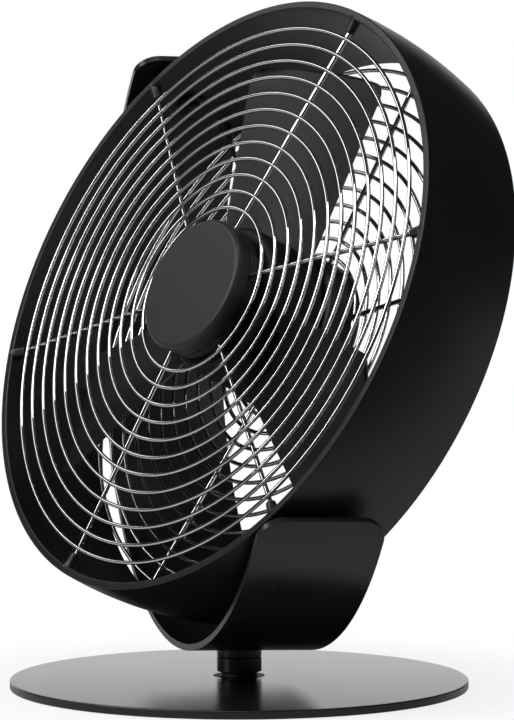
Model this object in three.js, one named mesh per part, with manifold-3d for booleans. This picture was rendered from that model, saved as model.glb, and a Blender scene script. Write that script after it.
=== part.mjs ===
// Desk air circulator: a barrel-shaped fan head hung on a slanted tilt axis inside a bent flat band,
// which swivels on a short post over a thin round base.
// Millimetres, +Z up, origin on the table under the post.
//
// World frame: the band lies near the XZ plane with its width along Y; its short arm rises on the +X side.
// Band frame: the world frame leaned back about the X axis through the underside of the band. The band is
// built upright in it.
// Head frame: origin where the tilt axis crosses the air axis, +Z along the air axis towards the front,
// +X along the tilt axis towards the short arm.

import * as THREE from "three";
import { mergeVertices, toCreasedNormals } from "three/addons/utils/BufferGeometryUtils.js";
import Module from "manifold-3d";

const wasm = await Module();
wasm.setup();

// ---------------------------------------------------------------- clearances
const SEAT = 0.3; // gap left between two pieces that touch
const RUNNING = 0.4; // radial gap of a piece that turns or slides in another
const SPILL = 1; // how far a cutting tool reaches past what it cuts

// ---------------------------------------------------------------- base
const BASE_R = 79;
const BASE_RIM_THICKNESS = 2.9; // height of the plate's edge
const BASE_CROWN = 1.2; // how much higher the middle of the plate stands
const BASE_EDGE_BEVEL = 0.4;
const PAD_STANDOFF = 0.4; // how far the rubber pad lifts the plate off the table
const PAD_R = 75;
const PAD_THICKNESS = 0.8; // one sheet that also covers the swivel screw
const UNDER_RECESS_R = 13; // pocket under the plate for the swivel screw and its washers
const UNDER_RECESS_DEPTH = 2.5;
const BUSH_POCKET_R = 8.8; // dark ring round the foot of the post
const BUSH_FLANGE_THICKNESS = 0.5;
const BUSH_BODY_R = 5.6;
const BUSH_NECK_R = 6.2;
const POST_FOOT_GAP = 1.5; // shadow gap between the plate and the post

// ---------------------------------------------------------------- post and swivel
const POST_R = 7.7;
const POST_FOOT_FILLET = 1.2;
const POST_GROOVE_DROP = 2.8; // groove below the underside of the band
const POST_GROOVE = 0.4;
const SWIVEL_SCREW_R = 2.5;
const SWIVEL_SCREW_REACH = 4.6; // how far the screw goes into the post
const SWIVEL_HEAD_R = 5.4;
const SWIVEL_HEAD_HEIGHT = 0.8;
const SWIVEL_WASHER_R = 9.5;
const SWIVEL_WASHER_THICKNESS = 0.4;
const BAND_SCREW_R = 1.25;
const BAND_SCREW_HEAD_R = 2.7;
const BAND_SCREW_OFFSET = 5; // each side of the post's axis
const BAND_SCREW_LENGTH = 6;

// ---------------------------------------------------------------- band
const BAND_BOTTOM = 14; // underside of the band above the table, at the post
const BAND_LEAN = 1.816; // degrees the band leans back, its top towards +Y
const TILT_AXIS_SLOPE = 39.93; // degrees the tilt axis dips towards the short arm
const HEAD_TO_BAND_GAP = 5.1; // between the head's widest place and the band
const BAND_THICKNESS = 2.2;
const BAND_WIDTH = 43.6;
const BAND_CORNER_R = 8.5;
const LOW_TIP_REACH = 15.5; // band beyond the pivot of the short arm
const HIGH_TIP_REACH = 16; // band beyond the pivot of the long arm

// ---------------------------------------------------------------- tilt pivots
const PIN_R = 3;
const PIN_FLANGE_R = 6;
const PIN_FLANGE_THICKNESS = 1.5;
const TILT_BUSH_WALL = 1.1;
const TILT_BUSH_FLANGE_R = 7;
const TILT_BUSH_FLANGE_THICKNESS = 1.2;
const TILT_CLIP_R = 5.5;
const TILT_CLIP_THICKNESS = 0.8;
const PIN_GROOVE_DEPTH = 0.6;
const PIN_TAIL = 1; // pin beyond its retaining clip

// ---------------------------------------------------------------- housing
const HEAD_TILT = 29.89; // degrees the head is turned up about the tilt axis, as it stands here
const FRONT_Z = 19.5; // front rim ahead of the tilt axis
const HOUSING_DEPTH = 44;
const FRONT_RIM_R = 107.9;
const BARREL_R = 150; // radius of the wall's lengthwise curve
const BARREL_PEAK = 11.5; // widest place behind the front rim
const HOUSING_WALL = 2.7; // at the front rim
const REAR_WALL = 1.5; // at the rear edge
const RIM_BEVEL = 0.4;

// ---------------------------------------------------------------- wire grilles
const RING_COUNT = 12;
const RING_TO_WALL = 7.2; // outermost ring inside the housing's front opening
const RING_TO_HUB = 6.2; // innermost ring outside the front hub
const RING_TO_MOUNT = 1.6; // and at least this far outside the motor mount
const RING_WIRE_R = 0.7;
const SPOKE_WIRE_R = 0.8;
const SPOKE_COUNT = 6;
const SPOKE_PHASE = 0.5; // degrees from the tilt axis to the first spoke
const WELD = 0.25; // depth to which a ring sinks into a spoke
const GRILLE_RISE = 0.052; // how much a grille stands out per millimetre towards its middle
const FRONT_RING_RECESS = 1; // outermost front ring behind the front rim
const REAR_SPOKE_RECESS = 7.8; // rear spokes' ends ahead of the rear edge
const SOCKET_R = 1.9;
const SOCKET_LENGTH = 5.2;
const SPOKE_ENGAGEMENT = 3; // length of spoke inside a socket
const WELD_RING_INSET = 2; // inner weld ring inside the hub's wall

// ---------------------------------------------------------------- front hub
const HUB_R = 23.8;
const HUB_FACE_AHEAD = 7.9; // hub face ahead of the front rim
const HUB_BACK_BEHIND = 1.9; // back of the hub behind the front rim
const HUB_WALL = 1.8;
const HUB_FACE_FILLET = 1.6;
const HUB_SCREW_R = 1.2;
const HUB_SCREW_HEAD_R = 2.3;
const HUB_SCREW_HEAD_HEIGHT = 1.2;
const HUB_SCREW_CIRCLE_R = 12;
const HUB_BOSS_R = 3;
const HUB_SCREW_MARGIN = 1; // screw's end short of the cap's floor

// ---------------------------------------------------------------- impeller
const BLADE_COUNT = 3;
const BLADE_TIP_GAP = 15.2; // blade tips inside the housing's front opening
const BLADE_PHASE = 19.67; // degrees from the tilt axis to the middle of the first blade
const BLADE_WEDGE = 22; // degrees between the two radii that a blade's straight edges lie along
const BLADE_LEAD_OFFSET = 16.3; // leading edge outside its radius
const BLADE_TRAIL_OFFSET = 7.5; // trailing edge outside its radius
const BLADE_SETBACK = 8.7; // trailing edges behind the front rim
const BLADE_AXIAL_DEPTH = 14.8;
const BLADE_THICKNESS = 1.8;
const BLADE_CORNER_R = 5;
const BLADE_CAMBER = 5; // how far the middle of a blade is hollowed to the rear
const IMPELLER_HUB_R = 26.5;
const IMPELLER_HUB_WALL = 2.2;
const IMPELLER_SETBACK = 5.7; // front of the impeller's hub behind the front rim
const IMPELLER_HUB_DEPTH = 23;
const IMPELLER_FILLET = 2.5;

// ---------------------------------------------------------------- motor
const SHAFT_R = 2;
const SHAFT_BOSS_WALL = 2.2; // impeller's boss round the shaft
const SHAFT_TAIL = 2; // shaft behind the motor mount's floor
const SHAFT_COVER = 1; // impeller left in front of the shaft's end
const SHAFT_CLIP_THICKNESS = 0.8;
const BEARING_R = 4.6;
const BEARING_WIDTH = 4;
const BEARING_SHOULDER = 1;
const BEARING_TUBE_WALL = 1.4;
const BEARING_TUBE_SETBACK = 6.9; // front of the bearing tube behind the front of the impeller's hub
const ROTOR_CUP_WALL = 1.4;
const MAGNET_THICKNESS = 2.2;
const AIR_GAP = 0.5;
const STATOR_HEIGHT = 8;
const STATOR_SETBACK = 3; // behind the front of the bearing tube
const STATOR_POLES = 6;
const POLE_TIP_GAP = 12; // degrees between neighbouring pole tips
const POLE_NECK_WIDTH = 3.6;
const POLE_TIP_DEPTH = 1.8;
const STATOR_YOKE = 2.6;
const COIL_BUILD = 1.7;

// ---------------------------------------------------------------- rear motor mount
const MOUNT_R = 28;
const IMPELLER_TO_MOUNT = 2.5;
const MOUNT_WALL = 2.4;
const MOUNT_FLOOR = 2;
const MOUNT_AND_COVER_DEPTH = 15.5;
const COVER_WALL = 2;
const COVER_FILLET = 2.5;
const BOARD_THICKNESS = 1.4;
const BOARD_HOLE_R = 7;
const BOARD_SETBACK = 2.6; // board behind the mount's floor
const STANDOFF_R = 2.8;
const STANDOFF_CIRCLE_R = 18;
const COVER_SCREW_R = 1.2;
const COVER_SCREW_HEAD_R = 2.4;
const COVER_SCREW_HEAD_HEIGHT = 1.3;
const COVER_SCREW_BITE = 2;
const CONTROL_CIRCLE_R = 13; // button and inlet off the air axis
const BUTTON_R = 5;
const BUTTON_PROUD = 1.4;
const BUTTON_LIP = 1; // width and thickness of the lip that keeps the button in
const BUTTON_TRAVEL = 0.8;
const SWITCH_SIDE = 6;
const SWITCH_HEIGHT = 2.6;
const INLET_R = 4.5;
const INLET_BORE_R = 2.9;
const INLET_PIN_R = 1;
const INLET_FLOOR = 2; // behind the board
const INLET_PIN_RECESS = 1; // pin's end inside the cover's face

// ---------------------------------------------------------------- facets
const FINE = 48;
const BAND_FACETS = 36;
const MEDIUM = 24;
const SMALL = 12;
const COARSE = 8;
const WIRE_SIDES = 4;
const SPOKE_SIDES = 6;

// ---------------------------------------------------------------- worked-out sizes
const rad = THREE.MathUtils.degToRad;
const plateBottom = PAD_STANDOFF;
const plateRimTop = plateBottom + BASE_RIM_THICKNESS;
const plateTop = plateRimTop + BASE_CROWN;
const bushFlangeBottom = plateTop - BUSH_FLANGE_THICKNESS;
const pocketFloor = bushFlangeBottom - SEAT;
const underRecessTop = plateBottom + UNDER_RECESS_DEPTH;
const postBottom = plateTop + POST_FOOT_GAP;
const washerTop = underRecessTop - SEAT;
const swivelHeadTop = washerTop - SWIVEL_WASHER_THICKNESS - SEAT;

const rearZ = FRONT_Z - HOUSING_DEPTH;
const barrelAxisR = FRONT_RIM_R - Math.sqrt(BARREL_R ** 2 - BARREL_PEAK ** 2);
const barrelRadius = (z) => barrelAxisR + Math.sqrt(BARREL_R ** 2 - (FRONT_Z - BARREL_PEAK - z) ** 2);
const wallAt = (z) => REAR_WALL + ((HOUSING_WALL - REAR_WALL) * (z - rearZ)) / HOUSING_DEPTH;
const innerRadius = (z) => barrelRadius(z) - wallAt(z);
const bandInnerR = barrelRadius(FRONT_Z - BARREL_PEAK) + HEAD_TO_BAND_GAP;
const bandOuterR = bandInnerR + BAND_THICKNESS;
const bandInnerBottom = BAND_BOTTOM + BAND_THICKNESS;
const pivotHeight = BAND_BOTTOM + bandOuterR; // crossing of the tilt axis and the air axis, in the band frame

// The band's arc is measured from straight down, positive towards +X.
const lowPivotArc = 90 - TILT_AXIS_SLOPE;
const highPivotArc = lowPivotArc - 180;
const alongBand = (reach) => THREE.MathUtils.radToDeg(reach / bandOuterR);
const lowTipArc = lowPivotArc + alongBand(LOW_TIP_REACH);
const highTipArc = highPivotArc - alongBand(HIGH_TIP_REACH);

const outerRingR = innerRadius(FRONT_Z) - RING_TO_WALL;
const innerRingR = Math.max(HUB_R + RING_TO_HUB, MOUNT_R + RING_TO_MOUNT);
const ringPitch = (outerRingR - innerRingR) / (RING_COUNT - 1);
const ringToSpoke = RING_WIRE_R + SPOKE_WIRE_R - WELD;
const frontSpokeZ = (r) => FRONT_Z - FRONT_RING_RECESS - ringToSpoke + (outerRingR - r) * GRILLE_RISE;
const rearSpokeZ = (r) => rearZ + REAR_SPOKE_RECESS - (outerRingR - r) * GRILLE_RISE;

const hubFaceZ = FRONT_Z + HUB_FACE_AHEAD;
const hubBackZ = FRONT_Z - HUB_BACK_BEHIND;
const hubSplitZ = frontSpokeZ(HUB_R - HUB_WALL / 2);
const hubFloor = HUB_WALL;
const frontWeldRingR = HUB_R - HUB_WALL - WELD_RING_INSET;
const rearWeldRingR = MOUNT_R - MOUNT_WALL - WELD_RING_INSET;

const impellerFrontZ = FRONT_Z - IMPELLER_SETBACK;
const impellerRearZ = impellerFrontZ - IMPELLER_HUB_DEPTH;
const mountFrontZ = impellerRearZ - IMPELLER_TO_MOUNT;
const coverRearZ = mountFrontZ - MOUNT_AND_COVER_DEPTH;
const mountFloorRearZ = mountFrontZ - MOUNT_FLOOR;
const mountSplitZ = rearSpokeZ(MOUNT_R - MOUNT_WALL / 2);
const boardFrontZ = mountFloorRearZ - BOARD_SETBACK;
const boardRearZ = boardFrontZ - BOARD_THICKNESS;
const coverInnerZ = coverRearZ + COVER_WALL;
const bearingTubeBoreR = BEARING_R + SEAT;
const bearingTubeR = bearingTubeBoreR + BEARING_TUBE_WALL;
const rotorCupR = IMPELLER_HUB_R - IMPELLER_HUB_WALL - SEAT;
const magnetR = rotorCupR - ROTOR_CUP_WALL - SEAT;
const statorR = magnetR - MAGNET_THICKNESS - AIR_GAP;
const shaftBossR = SHAFT_R + SEAT + SHAFT_BOSS_WALL;
const shaftBoreTop = impellerFrontZ - SHAFT_COVER;
const bearingTubeFrontZ = impellerFrontZ - BEARING_TUBE_SETBACK;
const rotorCupFrontZ = impellerFrontZ - IMPELLER_HUB_WALL - SEAT;
const statorFrontZ = bearingTubeFrontZ - STATOR_SETBACK;
const statorRearZ = statorFrontZ - STATOR_HEIGHT;

// ---------------------------------------------------------------- solids
// A closed three.js geometry as a solid that can be cut and joined.
function solid(geometry) {
  const bare = geometry.index ? geometry.toNonIndexed() : geometry.clone();
  bare.deleteAttribute("normal");
  bare.deleteAttribute("uv");
  const merged = mergeVertices(bare, 1e-4);
  const p = merged.attributes.position.array;
  const index = merged.index.array;
  const faces = [];
  let sixVolumes = 0;
  for (let i = 0; i < index.length; i += 3) {
    const [a, b, c] = [index[i], index[i + 1], index[i + 2]];
    if (a === b || b === c || c === a) continue;
    faces.push([a, b, c]);
    const [A, B, C] = [a, b, c].map((k) => new THREE.Vector3().fromArray(p, 3 * k));
    sixVolumes += A.dot(B.cross(C));
  }
  const triVerts = new Uint32Array(faces.flatMap(([a, b, c]) => (sixVolumes < 0 ? [a, c, b] : [a, b, c])));
  return new wasm.Manifold(new wasm.Mesh({ numProp: 3, vertProperties: new Float32Array(p), triVerts }));
}

// A solid back as a three.js geometry, with its sharp edges kept sharp.
function toGeometry(body) {
  const mesh = body.getMesh();
  const geometry = new THREE.BufferGeometry();
  const positions = new Float32Array(mesh.numVert * 3);
  for (let i = 0; i < mesh.numVert; i++) {
    for (let k = 0; k < 3; k++) positions[3 * i + k] = mesh.vertProperties[i * mesh.numProp + k];
  }
  geometry.setAttribute("position", new THREE.BufferAttribute(positions, 3));
  geometry.setIndex(new THREE.BufferAttribute(new Uint32Array(mesh.triVerts), 1));
  return toCreasedNormals(geometry, rad(35));
}

// A profile of [radius, z] points turned about Z. It starts and ends on the axis, or closes on itself.
function turned(profile, segments = MEDIUM) {
  const onAxis = profile[0][0] === 0 && profile.at(-1)[0] === 0;
  const closed = onAxis ? profile : [...profile, profile[0]];
  const points = closed.map(([r, z]) => new THREE.Vector2(r, z));
  return solid(new THREE.LatheGeometry(points, segments).rotateX(Math.PI / 2));
}

// Plain forms along Z, from z0 to z1.
const disc = (r, z0, z1, segments) => turned([[0, z0], [r, z0], [r, z1], [0, z1]], segments);
const sleeve = (rIn, rOut, z0, z1, segments) =>
  turned([[rIn, z0], [rOut, z0], [rOut, z1], [rIn, z1]], segments);

// A quarter-round between two directions on a turned profile: centre, radius, start and end angle in degrees.
function arcPoints(r, z, radius, from, to, steps = 3) {
  return Array.from({ length: steps + 1 }, (_, i) => {
    const angle = rad(from + ((to - from) * i) / steps);
    return [r + radius * Math.cos(angle), z + radius * Math.sin(angle)];
  });
}

// A solid moved or turned.
const shifted = (body, x, y, z) => body.translate([x, y, z]);
const about = (body, axis, degrees) => body.rotate(axis.map((k) => k * degrees));

// A solid built along Z, laid along the radius that lies at an angle in the XY plane, at height z.
const radial = (body, degrees, z) => shifted(about(about(body, [0, 1, 0], 90), [0, 0, 1], degrees), 0, 0, z);

// Copies of a solid round Z.
function around(body, count, phase = 0) {
  return Array.from({ length: count }, (_, i) => about(body, [0, 0, 1], phase + (360 * i) / count));
}

// A solid built upright in the band frame, as it stands in the world.
function leaned(body) {
  const onItsHinge = shifted(body, 0, 0, -BAND_BOTTOM);
  return shifted(about(onItsHinge, [1, 0, 0], -BAND_LEAN), 0, 0, BAND_BOTTOM);
}

const join = (bodies) => bodies.reduce((sum, next) => sum.add(next));
const cut = (body, tools) => tools.reduce((left, tool) => left.subtract(tool), body);

// ---------------------------------------------------------------- finishes
const finish = (color, roughness, metalness) => () =>
  new THREE.MeshStandardMaterial({ color, roughness, metalness });
const satinBlackPaint = finish(0x151516, 0.45, 0.1);
const blackPlastic = finish(0x1b1b1d, 0.55, 0);
const nylon = finish(0x0c0c0c, 0.7, 0);
const chromedWire = finish(0xdedede, 0.12, 1);
const steel = finish(0x8d8f92, 0.35, 1);
const rubber = finish(0x101010, 0.9, 0);
const copper = finish(0xb06a3a, 0.35, 1);
const magnetFerrite = finish(0x2c2b2a, 0.6, 0.3);
const boardGreen = finish(0x1d4a2c, 0.6, 0);

const fan = new THREE.Group();
const arch = new THREE.Group(); // the band frame
const head = new THREE.Group();
arch.rotation.x = -rad(BAND_LEAN);
arch.position.set(0, -BAND_BOTTOM * Math.sin(rad(BAND_LEAN)), BAND_BOTTOM * (1 - Math.cos(rad(BAND_LEAN))));
arch.add(head);
fan.add(arch);

function part(group, name, body, material) {
  const mesh = new THREE.Mesh(toGeometry(body), material());
  mesh.name = name;
  group.add(mesh);
  return mesh;
}

// ---------------------------------------------------------------- base and swivel
function basePlate() {
  const crownR = (BASE_R ** 2 + BASE_CROWN ** 2) / (2 * BASE_CROWN);
  const crown = (r) => plateTop - crownR + Math.sqrt(crownR ** 2 - r ** 2);
  const bevelR = BASE_R - BASE_EDGE_BEVEL;
  const top = [1, 0.7, 0.4].map((share) => bevelR * share);
  const padPocketTop = PAD_THICKNESS + SEAT;
  const profile = [
    [BUSH_BODY_R + SEAT, underRecessTop],
    [UNDER_RECESS_R, underRecessTop],
    [UNDER_RECESS_R, padPocketTop],
    [PAD_R + SEAT, padPocketTop],
    [PAD_R + SEAT, plateBottom],
    [bevelR, plateBottom],
    [BASE_R, plateBottom + BASE_EDGE_BEVEL],
    [BASE_R, plateRimTop - BASE_EDGE_BEVEL],
    ...top.map((r) => [r, crown(r)]),
    [BUSH_POCKET_R, crown(BUSH_POCKET_R)],
    [BUSH_POCKET_R, pocketFloor],
    [BUSH_BODY_R + SEAT, pocketFloor],
  ];
  return turned(profile, FINE);
}

function swivelBush() {
  const bore = SWIVEL_SCREW_R + SEAT;
  return turned([
    [bore, underRecessTop],
    [BUSH_BODY_R, underRecessTop],
    [BUSH_BODY_R, bushFlangeBottom],
    [BUSH_POCKET_R - SEAT, bushFlangeBottom],
    [BUSH_POCKET_R - SEAT, plateTop],
    [BUSH_NECK_R, plateTop],
    [BUSH_NECK_R, postBottom - SEAT],
    [bore, postBottom - SEAT],
  ], SMALL);
}

function swivelScrew() {
  return turned([
    [0, swivelHeadTop - SWIVEL_HEAD_HEIGHT],
    [SWIVEL_HEAD_R, swivelHeadTop - SWIVEL_HEAD_HEIGHT],
    [SWIVEL_HEAD_R, swivelHeadTop],
    [SWIVEL_SCREW_R, swivelHeadTop],
    [SWIVEL_SCREW_R, postBottom + SWIVEL_SCREW_REACH],
    [0, postBottom + SWIVEL_SCREW_REACH],
  ], SMALL);
}

// The band's own curve between two radii, upright.
function bandStrip(innerR, outerR, width) {
  const from = rad(highTipArc - 90);
  const to = rad(lowTipArc - 90);
  const shape = new THREE.Shape();
  shape.absarc(0, 0, outerR, from, to, false);
  shape.absarc(0, 0, innerR, to, from, true);
  shape.closePath();
  const form = { depth: width, bevelEnabled: false, curveSegments: BAND_FACETS };
  const strip = new THREE.ExtrudeGeometry(shape, form);
  return solid(strip.rotateX(Math.PI / 2).translate(0, width / 2, pivotHeight));
}

// The post's top is hollowed to the underside of the band.
function post() {
  const postTop = BAND_BOTTOM + BAND_THICKNESS / 3;
  const grooveZ = BAND_BOTTOM - POST_GROOVE_DROP;
  const body = turned([
    [0, postBottom],
    ...arcPoints(POST_R - POST_FOOT_FILLET, postBottom + POST_FOOT_FILLET, POST_FOOT_FILLET, -90, 0),
    [POST_R, grooveZ - POST_GROOVE / 2],
    [POST_R - POST_GROOVE, grooveZ],
    [POST_R, grooveZ + POST_GROOVE / 2],
    [POST_R, postTop],
    [0, postTop],
  ]);
  const swivelBoreTop = postBottom + SWIVEL_SCREW_REACH + SEAT;
  const swivelBore = disc(SWIVEL_SCREW_R + SEAT, postBottom - SPILL, swivelBoreTop, SMALL);
  const screwTip = bandInnerBottom - BAND_SCREW_LENGTH - SEAT;
  const screwBore = disc(BAND_SCREW_R + SEAT, screwTip, postTop + SPILL, SMALL);
  const screwBores = [-1, 1].map((side) => leaned(shifted(screwBore, 0, side * BAND_SCREW_OFFSET, 0)));
  const saddle = leaned(bandStrip(bandInnerR, bandOuterR + SEAT, 4 * POST_R));
  return cut(body, [swivelBore, saddle, ...screwBores]);
}

// Countersunk screw that holds the band down on the post, its head flush with the band's inner face.
function bandScrew(clearance = 0) {
  const top = bandInnerBottom - SEAT + clearance;
  const headDepth = BAND_SCREW_HEAD_R - BAND_SCREW_R;
  return turned([
    [0, bandInnerBottom - BAND_SCREW_LENGTH],
    [BAND_SCREW_R + clearance, bandInnerBottom - BAND_SCREW_LENGTH],
    [BAND_SCREW_R + clearance, top - headDepth - clearance],
    [BAND_SCREW_HEAD_R + clearance, top - clearance],
    [BAND_SCREW_HEAD_R + clearance, top + 3 * clearance],
    [0, top + 3 * clearance],
  ], SMALL);
}

part(fan, "base_plate", basePlate(), satinBlackPaint);
part(fan, "foot_pad", disc(PAD_R, 0, PAD_THICKNESS, FINE), rubber);
part(fan, "swivel_bush", swivelBush(), nylon);
part(fan, "swivel_screw", swivelScrew(), steel);
const swivelWasher = sleeve(
  SWIVEL_SCREW_R + SEAT, SWIVEL_WASHER_R, washerTop - SWIVEL_WASHER_THICKNESS, washerTop, SMALL);
part(fan, "swivel_washer", swivelWasher, steel);
part(fan, "post", post(), satinBlackPaint);
[-1, 1].forEach((side, i) => {
  part(arch, `band_screw_${i + 1}`, shifted(bandScrew(), 0, side * BAND_SCREW_OFFSET, 0), steel);
});

// ---------------------------------------------------------------- band
// What is cut off a square corner to round it, at the corner (0, 0) of a plate that lies in +X +Y.
function cornerCutter(radius, depth) {
  const shape = new THREE.Shape();
  shape.moveTo(-SPILL, -SPILL);
  shape.lineTo(radius, -SPILL);
  shape.lineTo(radius, 0);
  shape.absarc(radius, radius, radius, -Math.PI / 2, -Math.PI, true);
  shape.lineTo(-SPILL, radius);
  shape.closePath();
  return solid(new THREE.ExtrudeGeometry(shape, { depth, bevelEnabled: false, curveSegments: 4 }));
}

// Turns a solid so that straight down from the pivot height becomes the given place on the arc.
const toArc = (body, degrees) => shifted(about(body, [0, -1, 0], degrees), 0, 0, pivotHeight);

function band() {
  const cutter = cornerCutter(BAND_CORNER_R, 4 * BAND_THICKNESS);
  const corner = shifted(cutter, 0, 0, -bandInnerR - 3 * BAND_THICKNESS);
  const corners = [-1, 1].flatMap((end) => [-1, 1].map((side) => {
    const mirrored = corner.scale([-end, -side, 1]);
    return toArc(shifted(mirrored, 0, side * BAND_WIDTH / 2, 0), end > 0 ? lowTipArc : highTipArc);
  }));
  const screwHoles = [-1, 1].map((side) => shifted(bandScrew(SEAT), 0, side * BAND_SCREW_OFFSET, 0));
  return cut(bandStrip(bandInnerR, bandOuterR, BAND_WIDTH), [...corners, ...screwHoles]);
}

part(arch, "bracket_band", band(), satinBlackPaint);

// ---------------------------------------------------------------- tilt pivots, each built along the tilt axis
const bandSag = bandInnerR - Math.sqrt(bandInnerR ** 2 - PIN_FLANGE_R ** 2);
const pinFlangeOuter = bandInnerR - bandSag - SEAT;
const pinFlangeInner = pinFlangeOuter - PIN_FLANGE_THICKNESS;
const bushFlangeInner = barrelRadius(FRONT_Z - BARREL_PEAK) + SEAT;
const bushFlangeOuter = bushFlangeInner + TILT_BUSH_FLANGE_THICKNESS;
const tiltBushBoreR = PIN_R + SEAT;
const tiltBushR = tiltBushBoreR + TILT_BUSH_WALL;
const bushInnerEnd = innerRadius(0) - SEAT;
const clipOuter = bushInnerEnd - SEAT;
const clipInner = clipOuter - TILT_CLIP_THICKNESS;
const grooveR = PIN_R - PIN_GROOVE_DEPTH;

const pivotPin = turned([
  [0, clipInner - SEAT - PIN_TAIL],
  [PIN_R, clipInner - SEAT - PIN_TAIL],
  [PIN_R, clipInner - SEAT],
  [grooveR, clipInner - SEAT],
  [grooveR, clipOuter + SEAT],
  [PIN_R, clipOuter + SEAT],
  [PIN_R, pinFlangeInner],
  [PIN_FLANGE_R, pinFlangeInner],
  [PIN_FLANGE_R, pinFlangeOuter],
  [0, pinFlangeOuter],
], SMALL);

const tiltBush = turned([
  [tiltBushBoreR, bushInnerEnd],
  [tiltBushR, bushInnerEnd],
  [tiltBushR, bushFlangeInner],
  [TILT_BUSH_FLANGE_R, bushFlangeInner],
  [TILT_BUSH_FLANGE_R, bushFlangeOuter],
  [tiltBushBoreR, bushFlangeOuter],
], SMALL);

const tiltWasher = sleeve(tiltBushBoreR, PIN_FLANGE_R, bushFlangeOuter + SEAT, pinFlangeInner - SEAT, SMALL);
const tiltClip = sleeve(grooveR + SEAT, TILT_CLIP_R, clipInner, clipOuter, SMALL);

[["low", 0], ["high", 180]].forEach(([place, angle]) => {
  const arc = place === "low" ? lowPivotArc : highPivotArc;
  const pinUp = about(pivotPin, [1, 0, 0], 180); // from pointing up to pointing down
  part(arch, `pivot_pin_${place}`, toArc(pinUp, arc), steel);
  part(arch, `tilt_washer_${place}`, toArc(about(tiltWasher, [1, 0, 0], 180), arc), rubber);
  part(head, `tilt_bush_${place}`, radial(tiltBush, angle, 0), nylon);
  part(arch, `tilt_clip_${place}`, toArc(about(tiltClip, [1, 0, 0], 180), arc), steel);
});

// ---------------------------------------------------------------- housing with its spoke sockets
function housing() {
  const stations = (shares) => shares.map((share) => FRONT_Z - share * HOUSING_DEPTH);
  const shell = turned([
    [FRONT_RIM_R - RIM_BEVEL, FRONT_Z],
    [barrelRadius(FRONT_Z - RIM_BEVEL), FRONT_Z - RIM_BEVEL],
    ...stations([0.2, 0.4, 0.6, 0.8]).map((z) => [barrelRadius(z), z]),
    [barrelRadius(rearZ), rearZ + RIM_BEVEL],
    [barrelRadius(rearZ) - RIM_BEVEL, rearZ],
    [innerRadius(rearZ) + RIM_BEVEL, rearZ],
    [innerRadius(rearZ), rearZ + RIM_BEVEL],
    ...stations([0.75, 0.5, 0.25]).map((z) => [innerRadius(z), z]),
    [innerRadius(FRONT_Z), FRONT_Z - RIM_BEVEL],
    [innerRadius(FRONT_Z) + RIM_BEVEL, FRONT_Z],
  ], FINE);

  const sockets = [];
  const bores = [];
  for (const spokeZ of [frontSpokeZ, rearSpokeZ]) {
    const wallR = innerRadius(spokeZ(outerRingR));
    const mouthR = wallR - SOCKET_LENGTH;
    const z = spokeZ(mouthR);
    const socket = radial(disc(SOCKET_R, mouthR, wallR + REAR_WALL / 2, COARSE), 0, z);
    const bore = radial(
      disc(SPOKE_WIRE_R + SEAT, mouthR - SPILL, mouthR + SPOKE_ENGAGEMENT + SEAT, SPOKE_SIDES), 0, z);
    sockets.push(...around(socket, SPOKE_COUNT, SPOKE_PHASE));
    bores.push(...around(bore, SPOKE_COUNT, SPOKE_PHASE));
  }
  const pivotHole = disc(
    tiltBushR + SEAT, innerRadius(0) - HOUSING_WALL, barrelRadius(0) + HOUSING_WALL, SMALL);
  const pivotHoles = [0, 180].map((angle) => radial(pivotHole, angle, 0));
  return cut(join([shell, ...sockets]), [...bores, ...pivotHoles]);
}

// ---------------------------------------------------------------- wire grilles
// Rings welded on straight spokes. outward is +1 for the front grille and -1 for the rear one.
function grille(spokeZ, outward, weldRingR) {
  const wires = [];
  for (let i = 0; i < RING_COUNT; i++) {
    const r = outerRingR - i * ringPitch;
    const facets = SPOKE_COUNT * Math.round(1.5 + 0.03 * r);
    const ring = new THREE.TorusGeometry(r, RING_WIRE_R, WIRE_SIDES, facets).rotateZ(Math.PI / facets);
    wires.push(shifted(solid(ring), 0, 0, spokeZ(r) + outward * ringToSpoke));
  }
  const weldRing = new THREE.TorusGeometry(weldRingR, SPOKE_WIRE_R, WIRE_SIDES, 2 * SPOKE_COUNT);
  wires.push(shifted(solid(weldRing), 0, 0, spokeZ(weldRingR)));
  wires.push(...around(spoke(spokeZ, SPOKE_WIRE_R, weldRingR), SPOKE_COUNT));
  return about(join(wires), [0, 0, 1], SPOKE_PHASE);
}

// One spoke along +X, from the inner weld ring into its socket.
function spoke(spokeZ, wireR, innerR) {
  const socketMouthR = innerRadius(spokeZ(outerRingR)) - SOCKET_LENGTH;
  const outerR = socketMouthR + SPOKE_ENGAGEMENT;
  const start = new THREE.Vector3(innerR, 0, spokeZ(innerR));
  const end = new THREE.Vector3(outerR, 0, spokeZ(outerR));
  const wire = new THREE.CylinderGeometry(wireR, wireR, start.distanceTo(end), SPOKE_SIDES);
  const turn = new THREE.Quaternion().setFromUnitVectors(
    new THREE.Vector3(0, 1, 0), end.clone().sub(start).normalize());
  const middle = start.add(end).multiplyScalar(0.5);
  return solid(wire.applyQuaternion(turn).translate(middle.x, middle.y, middle.z));
}

part(head, "housing_shell", housing(), satinBlackPaint);
part(head, "front_grille", grille(frontSpokeZ, 1, frontWeldRingR), chromedWire);
part(head, "rear_grille", grille(rearSpokeZ, -1, rearWeldRingR), chromedWire);

// ---------------------------------------------------------------- front hub, clamped round the spokes
const spokePaths = (spokeZ, weldRingR) =>
  around(spoke(spokeZ, SPOKE_WIRE_R + SEAT, weldRingR), SPOKE_COUNT, SPOKE_PHASE);
const frontSpokePaths = spokePaths(frontSpokeZ, frontWeldRingR);
const rearSpokePaths = spokePaths(rearSpokeZ, rearWeldRingR);
const hubScrewPhase = SPOKE_PHASE + 180 / SPOKE_COUNT; // between two spokes

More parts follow.
